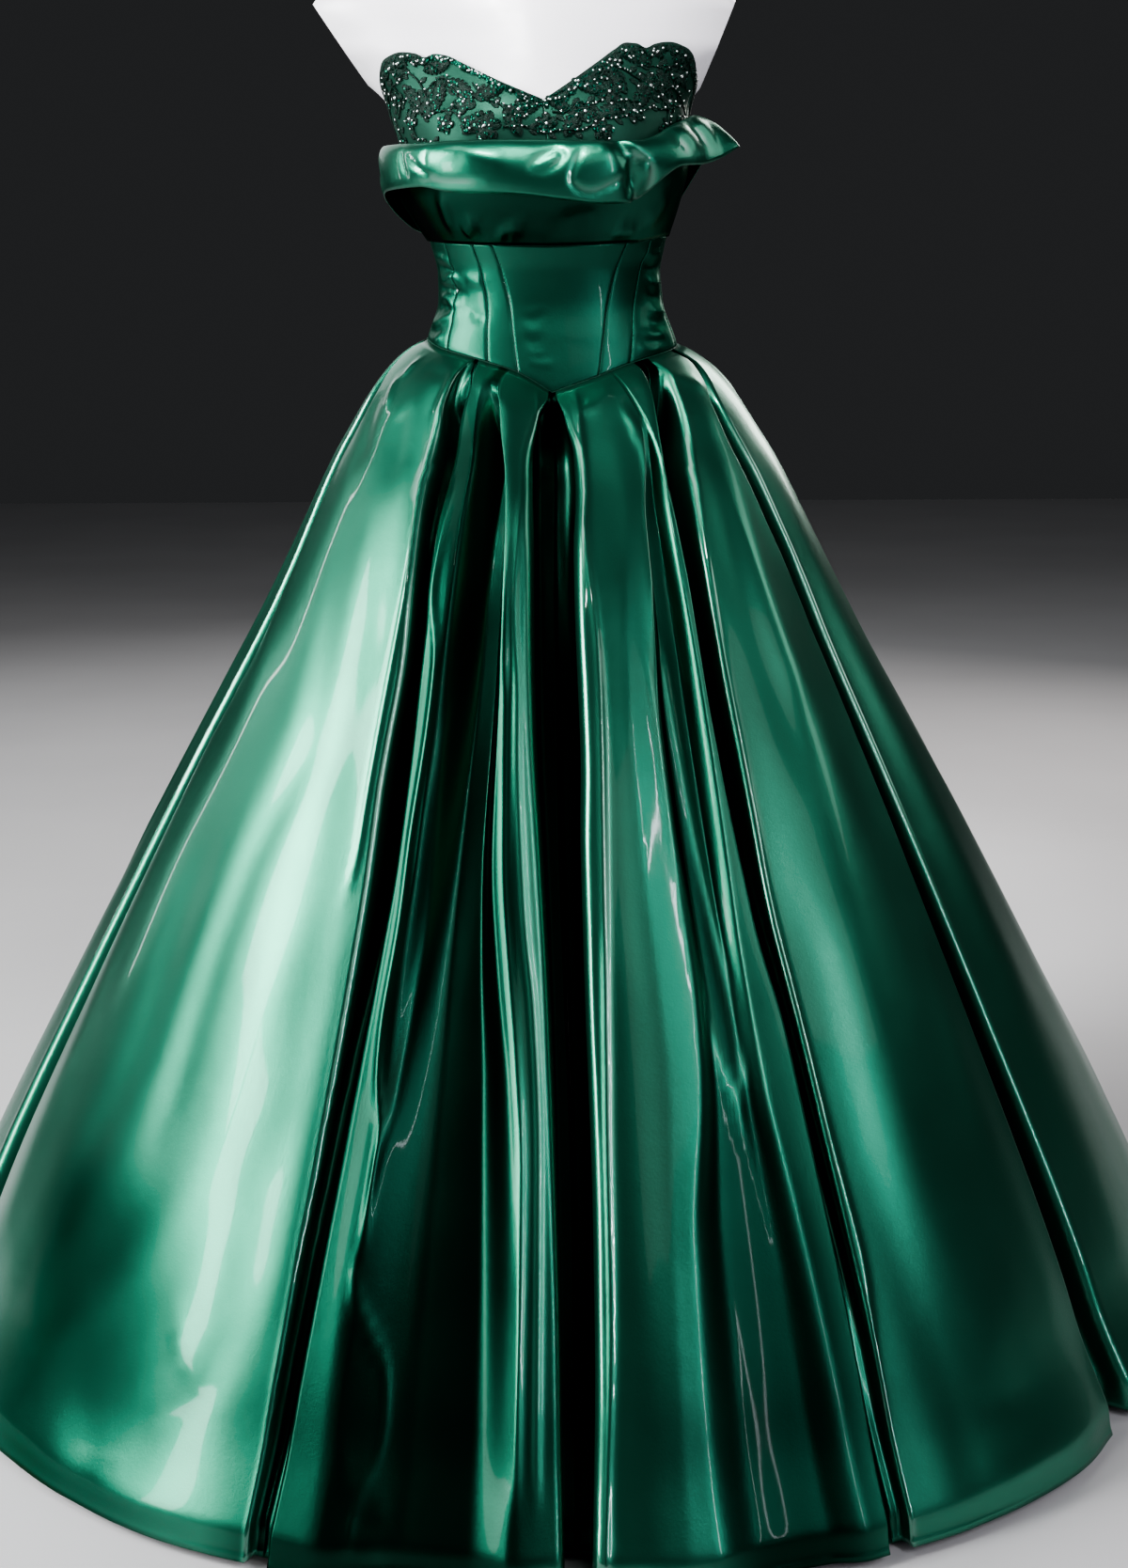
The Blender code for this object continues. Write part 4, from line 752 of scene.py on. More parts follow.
# ---- Materials
class Paint:
    """A material, and the nodes that feed its shader."""

    def __init__(self, name):
        self.made = bpy.data.materials.new(name)
        self.made.use_nodes = True
        self.tree = self.made.node_tree

    def feed(self, node, sockets):
        """Links a node's sockets to the outputs of others, or sets them to plain values."""
        for name, value in sockets.items():
            if isinstance(value, bpy.types.NodeSocket):
                self.tree.links.new(value, node.inputs[name])
            else:
                node.inputs[name].default_value = value

    def node(self, kind, output, sockets=(), **settings):
        made = self.tree.nodes.new("ShaderNode" + kind)
        for name, value in settings.items():
            setattr(made, name, value)
        self.feed(made, dict(sockets))
        return made.outputs[output]

    def noise(self, scale, detail=4.0, roughness=0.5, stretch=(1, 1, 1)):
        """Noise in the object's own coordinates, from 0 to 1."""
        place = self.node("TexCoord", "Object")
        place = self.node("Mapping", "Vector", {"Vector": place, "Scale": stretch})
        return self.node("TexNoise", "Fac", {
            "Vector": place, "Scale": scale, "Detail": detail, "Roughness": roughness,
        })

    def weave(self, scale):
        """Fine threads, upright and round the body, as a height from 0 to 1."""
        threads = {
            "Vector": self.node("TexCoord", "Object"), "Scale": scale, "Distortion": 1.5, "Detail Scale": 2.0,
        }
        warp, weft = (self.node("TexWave", "Fac", threads, bands_direction=way) for way in "XZ")
        return self.node("Math", "Value", {0: warp, 1: weft}, operation="MULTIPLY")

    def spread(self, value, low, high, start=0.3, end=0.7):
        """The value from start to end mapped on low to high."""
        return self.node("MapRange", "Result", {
            "Value": value, "From Min": start, "From Max": end, "To Min": low, "To Max": high,
        })

    def mix(self, share, first, second):
        return self.node("Mix", "Result", {"Factor": share, "A": first, "B": second}, data_type="RGBA")

    def ramp(self, value, interpolation, *stops):
        """A colour by the value, from stops of (position, colour)."""
        made = self.node("ValToRGB", "Color", {"Fac": value})
        ramp = made.node.color_ramp
        ramp.interpolation = interpolation
        for i, (position, colour) in enumerate(stops):
            stop = ramp.elements[i] if i < 2 else ramp.elements.new(position)
            stop.position, stop.color = position, (*colour, 1)
        return made

    def colours(self, noise, first, second):
        return self.ramp(self.noise(*noise), "EASE", (0.25, first), (0.75, second))

    def finish(self, sockets, *bumps):
        """Feeds the shader, with bumps of (height value, strength, distance) on each other."""
        for value, strength, distance in bumps:
            bump = {"Height": value, "Strength": strength, "Distance": distance}
            if "Normal" in sockets:
                bump["Normal"] = sockets["Normal"]
            sockets["Normal"] = self.node("Bump", "Normal", bump)
        self.feed(self.tree.nodes["Principled BSDF"], sockets)
        return self.made


def satin_material(name, dark, light, rough=(0.27, 0.34), metallic=0.90, coat=0.15):
    """Satin, painted dark and matt where its painted_shade is near 1, and with a painted gleam where it is
    near -1.
    """
    paint = Paint(name)
    # the painted shade at each point, above 0, and a painted gleam below 0
    painted_shade = paint.node("Attribute", "Fac", attribute_name="painted_shade")
    # how far the painted shade turns the specular tint dark
    edge = paint.spread(painted_shade, 0.0, 1.0, 0.1, 0.7)
    return paint.finish(
        {
            # the colour is painted towards black by the painted shade
            "Base Color": paint.mix(
                painted_shade, paint.colours((5.0, 2.0), dark, light), (0.001, 0.010, 0.006, 1)
            ),
            "Roughness": paint.spread(paint.noise(9.0, 2.0), *rough, 0.15, 0.85),
            # full coat in the painted gleam, none in the painted shade
            "Coat Weight": paint.ramp(
                paint.spread(painted_shade, 0.0, 1.0, -1.0, 1.0), "LINEAR", (0, (1, 1, 1)), (1, (0, 0, 0)),
                (0.5, (coat, coat, coat)),
            ),
            "Metallic": paint.spread(painted_shade, metallic, 1.0, 0.0, 0.6),
            "Specular Tint": paint.mix(edge, (1, 1, 1, 1), (0.0, 0.04, 0.02, 1)),
            "Coat Roughness": 0.04,
            "Coat IOR": 1.8,
        },
        (paint.noise(34.0, 3.0), 0.10, 0.002),
        (paint.noise(420.0, 2.0, 0.6), 0.16, 0.0006),
        (paint.weave(900.0), 0.10, 0.0002),
        (paint.noise(1500.0, 2.0, 0.6), 0.12, 0.0002),
    )


satin = satin_material("emerald_satin", (0.024, 0.165, 0.102), (0.031, 0.205, 0.128))
# the corset's satin: rougher and with less coat than the skirt's, and its colours painted darker as shade
corset_satin = satin_material(
    "corset_satin", (0.018, 0.128, 0.080), (0.023, 0.158, 0.099), (0.33, 0.42), 0.88, 0.07
)
bodice_satin = satin_material(
    "bodice_satin", (0.0065, 0.046, 0.029), (0.009, 0.060, 0.038), (0.46, 0.56), 0.75, 0.0
)


def plain_material(name, colour, rough, sockets, *bumps):
    """A material whose colour is (noise, first, second), its roughness (noise, low, high) and each bump
    (noise, strength, distance)."""
    paint = Paint(name)
    sockets = {"Base Color": paint.colours(*colour), **sockets}
    if rough:
        noise, low, high = rough
        sockets["Roughness"] = paint.spread(paint.noise(*noise), low, high)
    return paint.finish(sockets, *((paint.noise(*noise), *size) for noise, *size in bumps))


def lace_material():
    paint = Paint("dark_green_lace")
    cells = {"Vector": paint.node("TexCoord", "Object"), "Scale": 700.0}
    return paint.finish(
        {
            "Base Color": paint.colours((180.0, 5.0, 0.7), (0.0004, 0.006, 0.004), (0.0015, 0.026, 0.016)),
            "Roughness": paint.spread(paint.noise(500.0), 0.35, 0.7),
            "Metallic": 0.2,
            "Specular IOR Level": 0.25,
        },
        (paint.node("TexVoronoi", "Distance", cells), 0.8, 0.0008),
        (paint.noise(1200.0), 0.3, 0.0003),
    )


thread_paint = plain_material(
    "seam_thread", ((300.0,), (0.001, 0.020, 0.012), (0.003, 0.045, 0.026)), None,
    {"Roughness": 0.6, "Specular IOR Level": 0.15}, ((2500.0,), 0.3, 0.0002),
)
lace_paint = lace_material()
sequin_paint = plain_material(
    "green_sequin", ((400.0, 2.0), (0.0006, 0.014, 0.009), (0.004, 0.10, 0.06)), ((900.0,), 0.16, 0.32),
    {"Metallic": 0.9},
)
bead_paint = plain_material(
    "silver_bead", ((350.0, 2.0), (0.55, 0.60, 0.60), (0.92, 0.95, 0.95)), ((700.0,), 0.06, 0.16),
    {"Metallic": 0.8, "Coat Weight": 0.6, "Coat Roughness": 0.03},
)
white_shell, arm_plate, cap_shell = (
    plain_material(
        name, ((4.0, 3.0), first, second), ((60.0,), *rough), {"Coat Weight": 0.15, "Coat Roughness": 0.25},
        ((160.0, 3.0), 0.04, 0.0006),
    )
    for name, first, second, rough in (
        ("white_shell", (0.80, 0.79, 0.83), (0.86, 0.85, 0.88), (0.30, 0.42)),
        ("arm_plate", (0.74, 0.70, 0.68), (0.80, 0.77, 0.75), (0.38, 0.50)),
        ("cap_shell", (0.78, 0.77, 0.80), (0.84, 0.83, 0.86), (0.28, 0.36)),
    )
)
BRUSHED = (60.0, 5.0, 0.7, (1, 1, 24))
metal = plain_material(
    "brushed_steel", (BRUSHED, (0.42, 0.42, 0.44), (0.60, 0.60, 0.62)), (BRUSHED, 0.24, 0.40),
    {"Metallic": 1.0}, ((700.0, 3.0, 0.6, (1, 1, 10)), 0.12, 0.0002),
)
floor_paint = plain_material(
    "pale_floor", ((1.3,), (0.60, 0.60, 0.61), (0.65, 0.65, 0.66)), None, {"Roughness": 0.75},
    ((40.0, 5.0), 0.05, 0.002),
)


# ---- Meshes
def place_object(name, data):
    obj = bpy.data.objects.new(name, data)
    scene.collection.objects.link(obj)
    return obj


def add_mesh(name, points, faces, paint, slot, smooth_shade=True):
    """A mesh of the part, or of what it stands on where there is no slot."""
    mesh = bpy.data.meshes.new(name)
    mesh.from_pydata(np.asarray(points, float).tolist(), [], faces)
    mesh.materials.append(paint)
    if smooth_shade:
        mesh.shade_smooth()
    obj = place_object(name, mesh)
    if slot:
        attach(obj, "root")
    return obj


def shell_faces(count, columns):
    """Faces of a closed shell between an outer grid and an inner one that follows it in the list."""
    under = count * columns
    index = np.arange(under).reshape(count, columns)
    a, b, c, d = index[:-1, :-1], index[:-1, 1:], index[1:, 1:], index[1:, :-1]
    grids = np.array([[a, b, c, d], [under + d, under + c, under + b, under + a]])
    faces = [np.moveaxis(grids, 1, -1).reshape(-1, 4)]
    for first, second in ((index[0, 1:], index[0, :-1]), (index[-1, :-1], index[-1, 1:]),
                          (index[:-1, 0], index[1:, 0]), (index[1:, -1], index[:-1, -1])):
        faces.append(np.stack([first, second, under + second, under + first], axis=-1))
    return np.concatenate(faces)


def tube_faces(count, sides):
    """Faces of a closed tube of rings, the last two of them its ends."""
    steps = [(k, (k + 1) % sides) for k in range(sides)]
    faces = [(start + k, start + after, start + sides + after, start + sides + k)
             for start in range(0, (count - 1) * sides, sides) for k, after in steps]
    return [*faces, tuple(range(sides))[::-1], tuple((count - 1) * sides + k for k in range(sides))]


def cloth_panel(name, node, outer, normal, paint, slot, painted_shade=None):
    """A closed thin shell of cloth under a grid of its outer points, in its solid's place: the solid is
    hidden.
    The first and last columns are drawn in, to part it from the next panel. painted_shade is how dark the
    satin is painted at each point, from -1 to 1: above 0 painted shade, and below 0 a painted gleam of extra
    coat."""
    outer = outer.copy()
    for edge, inside in ((0, 1), (-1, -2)):
        outer[:, edge] += unit(outer[:, inside] - outer[:, edge]) * SEAM_GAP / 2
    points = np.concatenate([outer.reshape(-1, 3), (outer - normal * CLOTH).reshape(-1, 3)])
    obj = add_mesh(name, points, shell_faces(*outer.shape[:2]).tolist(), paint, slot)
    obj.data.validate()
    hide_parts(node)
    if painted_shade is not None:
        shade = obj.data.attributes.new("painted_shade", "FLOAT", "POINT")
        shade.data.foreach_set("value", np.tile(np.ravel(painted_shade), 2).astype(np.float32))


# ---- The skirt
ROW_SHARES = spans(0, 26, 0.10, 67, 0.95, 12, 1)[:, None]
SKIRT_STEP = 0.0078  # along the cloth from column to column, and less where it turns
TURN_WEIGHT = 0.016
TRIAL_COLUMNS = 321  # of each pleat and panel, before they are evened out
FRONT_FINER = 0.60  # how much closer the columns are in front
FRONT_MIDDLE, FRONT_REACH = -4, 82


def row_heights(azimuth):
    """The height of each row of the skirt, from the waist seam down to the hem."""
    top = basque(wrapped(azimuth)) - SEAM_GAP / 2
    return top - ROW_SHARES * (top - HEM_HEIGHT)


def pleat_order():
    """The pleats from centre back round the wearer's right, front and left to centre back again."""
    order = sorted(PLEATS, key=lambda pleat: float(wrapped(lips(pleat, 0.5)[0])))
    back = max(order, key=lambda pleat: abs(float(wrapped(lips(pleat, 0.5)[0]))))
    order.remove(back)
    return [back, *order, back]


def pleat_middle(pleat):
    """A pleat's middle in each row of the skirt."""
    height = 1.05 - ROW_SHARES * 1.03  # a first guess, which the steps below correct
    for _ in range(8):
        middle = lips(pleat, height)[0]
        height = row_heights(middle)
    return middle


def evened(points, places):
    """For each row, places between the first and last that are evenly apart along the cloth, and closer
    where it turns and in front."""
    steps = np.diff(points, axis=1)
    lengths = np.linalg.norm(steps, axis=-1)
    turns = np.zeros_like(lengths)
    turns[:, 1:] = np.linalg.norm(np.diff(steps / np.maximum(lengths, 1e-9)[..., None], axis=1), axis=-1)
    turns[:, :-1] += turns[:, 1:]
    finer = 1 + FRONT_FINER * bell((wrapped(places[:, 1:]) - FRONT_MIDDLE) / FRONT_REACH, 6)
    weights = finer * lengths + TURN_WEIGHT * turns / 2
    for _ in range(2):
        weights = np.array([np.convolve(np.pad(row, 4, "edge"), np.ones(9) / 9, "valid") for row in weights])
    for _ in range(2):
        padded = np.pad(weights, ((1, 1), (0, 0)), "edge")
        weights = (padded[:-2] + 2 * padded[1:-1] + padded[2:]) / 4
    total = np.pad(np.cumsum(weights, axis=1), ((0, 0), (1, 0)))
    share = np.linspace(0, 1, int(np.ceil(total[:, -1].max() / SKIRT_STEP)) + 1)
    return np.array([np.interp(share * row[-1], row, place) for row, place in zip(total, places)])


def skirt():
    """The eight gores, cut from one grid at the middles of the sewn pleats."""
    order = pleat_order()
    columns, seams = [], [0]
    for pleat, after in zip(order, order[1:]):
        start, end = pleat_middle(pleat), pleat_middle(after)
        if not columns:
            start = start - 360 * (start > 0)
        places = start + (end - start) * np.linspace(0, 1, TRIAL_COLUMNS)
        found = evened(skirt_surface(places, row_heights(places)), places)
        columns.append(found[:, 1:] if columns else found)
        if after.seam:
            seams.append(sum(part.shape[1] for part in columns) - 1)
    azimuth = np.concatenate(columns, axis=1)
    heights = row_heights(azimuth)[::-1]
    points, painted_shade = skirt_surface(azimuth[::-1], heights, inside=True)
    normal = grid_normals(points)
    for name, first, last in zip(GORE_NAMES, seams, seams[1:]):
        part = slice(first, last + 1)
        cloth_panel("gore_" + name, "skirt_" + name, points[:, part], normal[:, part], satin, "emerald_satin",
                    painted_shade[:, part])


# ---- The corset
CORSET_GRID = 0.0032
CORSET_RADIUS = 0.125  # about the figure's radius there
CORSET_SHADE = 0.38  # painted shade over the whole corset, which makes it a little duller than the skirt
SEAM_DIP = 0.0007
SEAM_DIP_WIDTH = 0.0018


def even_count(length, step):
    return max(3, int(np.ceil(length / step)) + 1)


def corset():
    up = spans(0, 5, 0.06, 40, 0.94, 5, 1)[:, None]
    for name, right, left in zip(CORSET_PANELS, CORSET_SEAMS, CORSET_SEAMS[1:]):
        wide = np.radians(left.top - right.top) * CORSET_RADIUS
        edge = 3.5 * SEAM_DIP_WIDTH / wide
        share = spans(0, 7, edge, even_count(wide, CORSET_GRID), 1 - edge, 7, 1)
        start = right.foot + (right.top - right.foot) * up
        end = left.foot + (left.top - left.foot) * up
        azimuth = start + (end - start) * share
        foot = basque(azimuth) + SEAM_GAP / 2
        height = foot + (underbust(azimuth) - SEAM_GAP / 2 - foot) * up
        radius = figure_radius(azimuth, height)
        aside = np.minimum(share, 1 - share) * np.radians(end - start) * radius
        dip = SEAM_DIP * (bell(aside / SEAM_DIP_WIDTH) + 0.7 * bell((height - foot) / 0.003))
        rise = strokes_rise(CORSET_STROKES, azimuth, height, radius)
        outer = on_figure(azimuth, height, FORM_GAP + CORSET_WALL - dip + rise)
        # more painted shade on the wearer's left, from the front round to the side
        shade = CORSET_SHADE + 0.10 * ease((azimuth + 10) / 50) * ease((110 - azimuth) / 40)
        cloth_panel("panel_" + name, "corset_" + name, outer, grid_normals(outer), corset_satin,
                    "emerald_satin", shade)


# ---- The bodice and its lace
BODICE_RADIUS = 0.15  # about the figure's radius there
CUP_GRID, BODICE_BACK_GRID = 0.0030, 0.0050
GROUND_DROP = 0.0004  # how far the satin lies under the face that carries the lace


def bodice_out(azimuth, height):
    """How far the face that carries the lace stands out from the figure."""
    low, high = STAND_OFF_HEIGHTS
    stand_off = FORM_GAP + EDGE_STAND_OFF * ease((height - low) / (high - low))
    lace = LACE_RISE * lace_rise(azimuth, height) * (np.abs(azimuth) < CUPS_END)
    return stand_off + CORSET_WALL + lace


def bodice():
    up = spans(0, 52, 0.9, 12, 1)[:, None]
    for name, right, left in zip(BODICE_PANELS, BODICE_SEAMS, BODICE_SEAMS[1:]):
        step = BODICE_BACK_GRID if name.startswith("bodice") else CUP_GRID
        azimuth = np.linspace(right, left, even_count(np.radians(left - right) * BODICE_RADIUS, step))
        foot = underbust(azimuth) + SEAM_GAP / 2
        height = foot + (neckline(azimuth) - foot) * up
        azimuth = np.broadcast_to(azimuth, height.shape)
        outer = on_figure(azimuth, height, bodice_out(azimuth, height) - GROUND_DROP)
        cloth_panel("ground_" + name, name, outer, grid_normals(outer), bodice_satin, "beaded_lace")


# ---- The lace: leaves, flowers, a border along the neckline and vines, with sequins and beads sewn on
Flower = namedtuple("Flower", "azimuth below radius petals turn")
FLOWERS = rows(
    Flower, (1, MM, TENTHS, 1, 1),
    (-69, 34, 105, 5, 10), (-50, 47, 160, 6, 0), (-33, 36, 130, 5, 40), (-23, 50, 155, 6, 20),
    (-9, 20, 100, 5, 70), (3, 24, 110, 5, 0), (20, 34, 110, 5, 30), (33, 30, 140, 6, 10),
    (41, 60, 130, 5, 55), (53, 40, 150, 6, 25), (62, 58, 120, 5, 15), (68, 30, 125, 5, 60),
    (-60, 66, 110, 5, 45), (26, 60, 110, 5, 80), (-40, 66, 100, 5, 20), (-70, 82, 120, 5, 30),
    (-52, 90, 100, 5, 65), (71, 72, 125, 5, 35), (57, 86, 105, 5, 10), (72, 100, 110, 5, 50),
)
# vines, as azimuths and millimetres below the neckline
VINES = (
    (-74, 18, -66, 26, -60, 20, -54, 30, -50, 47), (-70, 52, -64, 44, -58, 52, -50, 60, -44, 56),
    (-50, 30, -43, 22, -38, 30, -33, 36), (-44, 56, -36, 50, -30, 58, -23, 50, -17, 40),
    (-30, 14, -24, 24, -18, 22, -12, 28, -6, 22), (-16, 44, -9, 36, -2, 34, 5, 34, 12, 42),
    (6, 16, 12, 24, 18, 22, 24, 32, 33, 30), (12, 42, 19, 50, 26, 48, 33, 56, 41, 60),
    (30, 14, 37, 10, 43, 20, 47, 32, 53, 40), (41, 60, 47, 66, 54, 60, 62, 66, 70, 56),
    (50, 22, 56, 18, 61, 26, 66, 22, 72, 32), (53, 40, 58, 48, 64, 44, 70, 48, 75, 44),
    (-75, 30, -73, 56, -70, 82, -71, 106), (-60, 66, -58, 82, -52, 90, -45, 86),
    (62, 58, 60, 74, 57, 86, 50, 92), (75, 50, 74, 72, 72, 100, 66, 112),
)
# the border's depth along the neckline
Border = namedtuple("Border", "azimuth depth")
BORDER = rows(
    Border, (1, MM),
    (-180, 5), (-100, 5), (-80, 8), (-70, 16), (-60, 15), (-52, 7), (-36, 5), (-20, 6), (-6, 8), (2.5, 7),
    (10, 11), (22, 14), (34, 12), (44, 17), (54, 10), (64, 13), (74, 9), (100, 5), (180, 5),
)
BORDER_GRID = 0.0016
BORDER_ROWS = 0.62  # degrees between the border's rows of sequins
LACE_THICK = 0.0005
CORD_RADIUS = 0.00055


def on_bodice(azimuth, height, out):
    """Points that stand a little off the bodice's satin."""
    azimuth, height, out = np.broadcast_arrays(np.asarray(azimuth, float), height, out)
    return on_figure(azimuth, height, bodice_out(azimuth, height) + out)


def on_shape(shape, x, y):
    """The azimuth and height of a place x across and y along a leaf or flower, which is turned clockwise."""
    height = neckline(shape.azimuth) - shape.below
    turn = np.radians(shape.turn)
    across, up = x * np.cos(turn) + y * np.sin(turn), y * np.cos(turn) - x * np.sin(turn)
    reach = figure_radius(np.asarray(shape.azimuth, float), np.asarray(height, float))
    return shape.azimuth + np.degrees(across / reach), height + up


class Pile:
    """Points and faces of many small shapes, for one mesh."""

    def __init__(self):
        self.points, self.faces = [], []

    def add(self, points, faces):
        start = len(self.points)
        self.points.extend(map(tuple, np.asarray(points, float).reshape(-1, 3)))
        self.faces.extend(tuple(start + int(i) for i in face) for face in faces)


def add_patch(pile, azimuth, height, rise):
    """A closed patch over a grid on the bodice. Its rim lies on the satin."""
    sides = [on_bodice(azimuth, height, out).reshape(-1, 3) for out in (rise, rise - LACE_THICK)]
    pile.add(np.concatenate(sides), shell_faces(*azimuth.shape))


def leaf_half(leaf, along):
    """Half a leaf's width, along it from -0.5 to 0.5."""
    return 0.5 * leaf.width * np.maximum(1 - (2 * along) ** 2, 0.003) ** 0.7


def leaf_grid(leaf):
    """A serrated leaf, as azimuths, heights and rises of a grid."""
    along = np.linspace(-0.5, 0.5, 25)[:, None]
    side = np.linspace(-1, 1, 9)
    half = leaf_half(leaf, along) * (1 + 0.22 * np.sin(44 * along) * np.abs(side) ** 3)
    bend = 0.12 * leaf.length * (0.25 - along**2)
    vein = 0.00035 * bell(side / 0.16) * (1 - np.abs(2 * along) ** 3)
    place = on_shape(leaf, side * half + bend, along * leaf.length + 0 * side)
    return *place, LACE_THICK + 0.0006 * (1 - side**2) - vein


def petals(flower, angle):
    return np.abs(np.cos(angle * flower.petals / 2))


def on_flower(flower, angle, share):
    """A place on a flower, a share of the way out to its edge."""
    reach = share * (flower.radius * (0.58 + 0.42 * petals(flower, angle) ** 0.7))
    return on_shape(flower, reach * np.sin(angle), reach * np.cos(angle))


def flower_grid(flower):
    angle = np.linspace(0, 2 * np.pi, 8 * flower.petals + 1)
    share = np.linspace(0.02, 1, 9)[:, None]
    cup = 0.0011 * np.sin(np.pi * share**0.8) * (0.55 + 0.45 * petals(flower, angle))
    azimuth, height = on_flower(flower, angle, share)
    return azimuth[::-1], height[::-1], (LACE_THICK + cup + 0.0004 * (1 - share))[::-1]


def border_depth(azimuth):
    """The border's lower edge is uneven, with small lobes."""
    angle = np.radians(azimuth)
    lobes = 0.26 * np.sin(angle * 31 + 1.2 * np.sin(angle * 7))
    return table(BORDER, "depth", azimuth, "azimuth") * (1 + lobes + 0.16 * np.sin(angle * 83 + 2.0))


def add_border(pile, right, left):
    azimuth = np.linspace(right, left, even_count(np.radians(left - right) * BODICE_RADIUS, BORDER_GRID))
    share = np.linspace(1, 0, 7)[:, None]
    height = neckline(azimuth) + 0.0006 - share * border_depth(azimuth)
    rise = LACE_THICK + 0.0007 * np.sin(np.pi * np.clip(share, 0.08, 1)) + 0 * height
    add_patch(pile, np.broadcast_to(azimuth, height.shape), height, rise)


def add_rings(pile, centre, up, aside, radius, sides):
    """A closed tube round the points of centre."""
    turns = 2 * np.pi * np.arange(sides)[:, None] / sides
    rings = centre[:, None] + radius * (np.cos(turns) * up[:, None] + np.sin(turns) * aside[:, None])
    pile.add(rings, tube_faces(len(centre), sides))


def add_cord(pile, azimuth, height, radius=CORD_RADIUS):
    """A round cord laid along places on the bodice."""
    rise = LACE_THICK + 0.7 * radius
    centre = on_bodice(azimuth, height, rise)
    up = unit(on_bodice(azimuth, height, rise + 0.001) - centre)
    along = np.gradient(centre, axis=0)
    along /= np.maximum(np.linalg.norm(along, axis=-1, keepdims=True), 1e-9)
    add_rings(pile, centre, up, np.cross(along, up), radius, 5)


def add_tube(pile, centre, up, radius, sides=6):
    """A round tube along points."""
    along = unit(np.gradient(centre, axis=0))
    aside = unit(np.cross(along, up))
    add_rings(pile, centre, np.cross(aside, along), aside, radius, sides)


def add_sequins(pile, places):
    """Small discs at (azimuth, height, rise, radius), each tilted a little on the lace under it."""
    azimuth, height, rise, radius = np.array(places).T
    centres = on_bodice(azimuth, height, rise)
    outs = unit(on_bodice(azimuth, height, rise + 0.001) - centres)
    outs = unit(outs + random.normal(0, 0.22, outs.shape))
    firsts = unit(np.cross(outs, (0.3, 0.2, 0.9)))
    seconds = np.cross(outs, firsts)
    angles = np.arange(7)[:, None] * 2 * np.pi / 7
    faces = [(k, (k + 1) % 7, 14) for k in range(7)]
    faces += [((k + 1) % 7 + 7, k + 7, 15) for k in range(7)]
    faces += [((k + 1) % 7, k, k + 7, (k + 1) % 7 + 7) for k in range(7)]
    for centre, out, first, second, size in zip(centres, outs, firsts, seconds, radius):
        rim = centre + size * (np.cos(angles) * first + np.sin(angles) * second)
        pile.add([*rim, *(rim - out * 0.00025), centre + out * 0.00012, centre - out * 0.0003], faces)


def add_beads(pile, places):
    """Small balls at (azimuth, height, rise, radius)."""
    azimuth, height, rise, radius = np.array(places).T
    centres = on_bodice(azimuth, height, rise + radius * 0.8)
    tips, angles = np.meshgrid(np.radians((-60, -30, 0, 30, 60)), np.arange(8) * np.pi / 4, indexing="ij")
    ball = np.stack([np.cos(angles) * np.cos(tips), np.sin(angles) * np.cos(tips), np.sin(tips)], axis=-1)
    ball = np.concatenate([ball.reshape(-1, 3), [(0, 0, -1), (0, 0, 1)]])
    faces = tube_faces(5, 8)[:-2] + [((k + 1) % 8, k, 40) for k in range(8)]
    faces += [(32 + k, 32 + (k + 1) % 8, 41) for k in range(8)]
    for centre, size in zip(centres, radius):
        pile.add(centre + size * ball, faces)


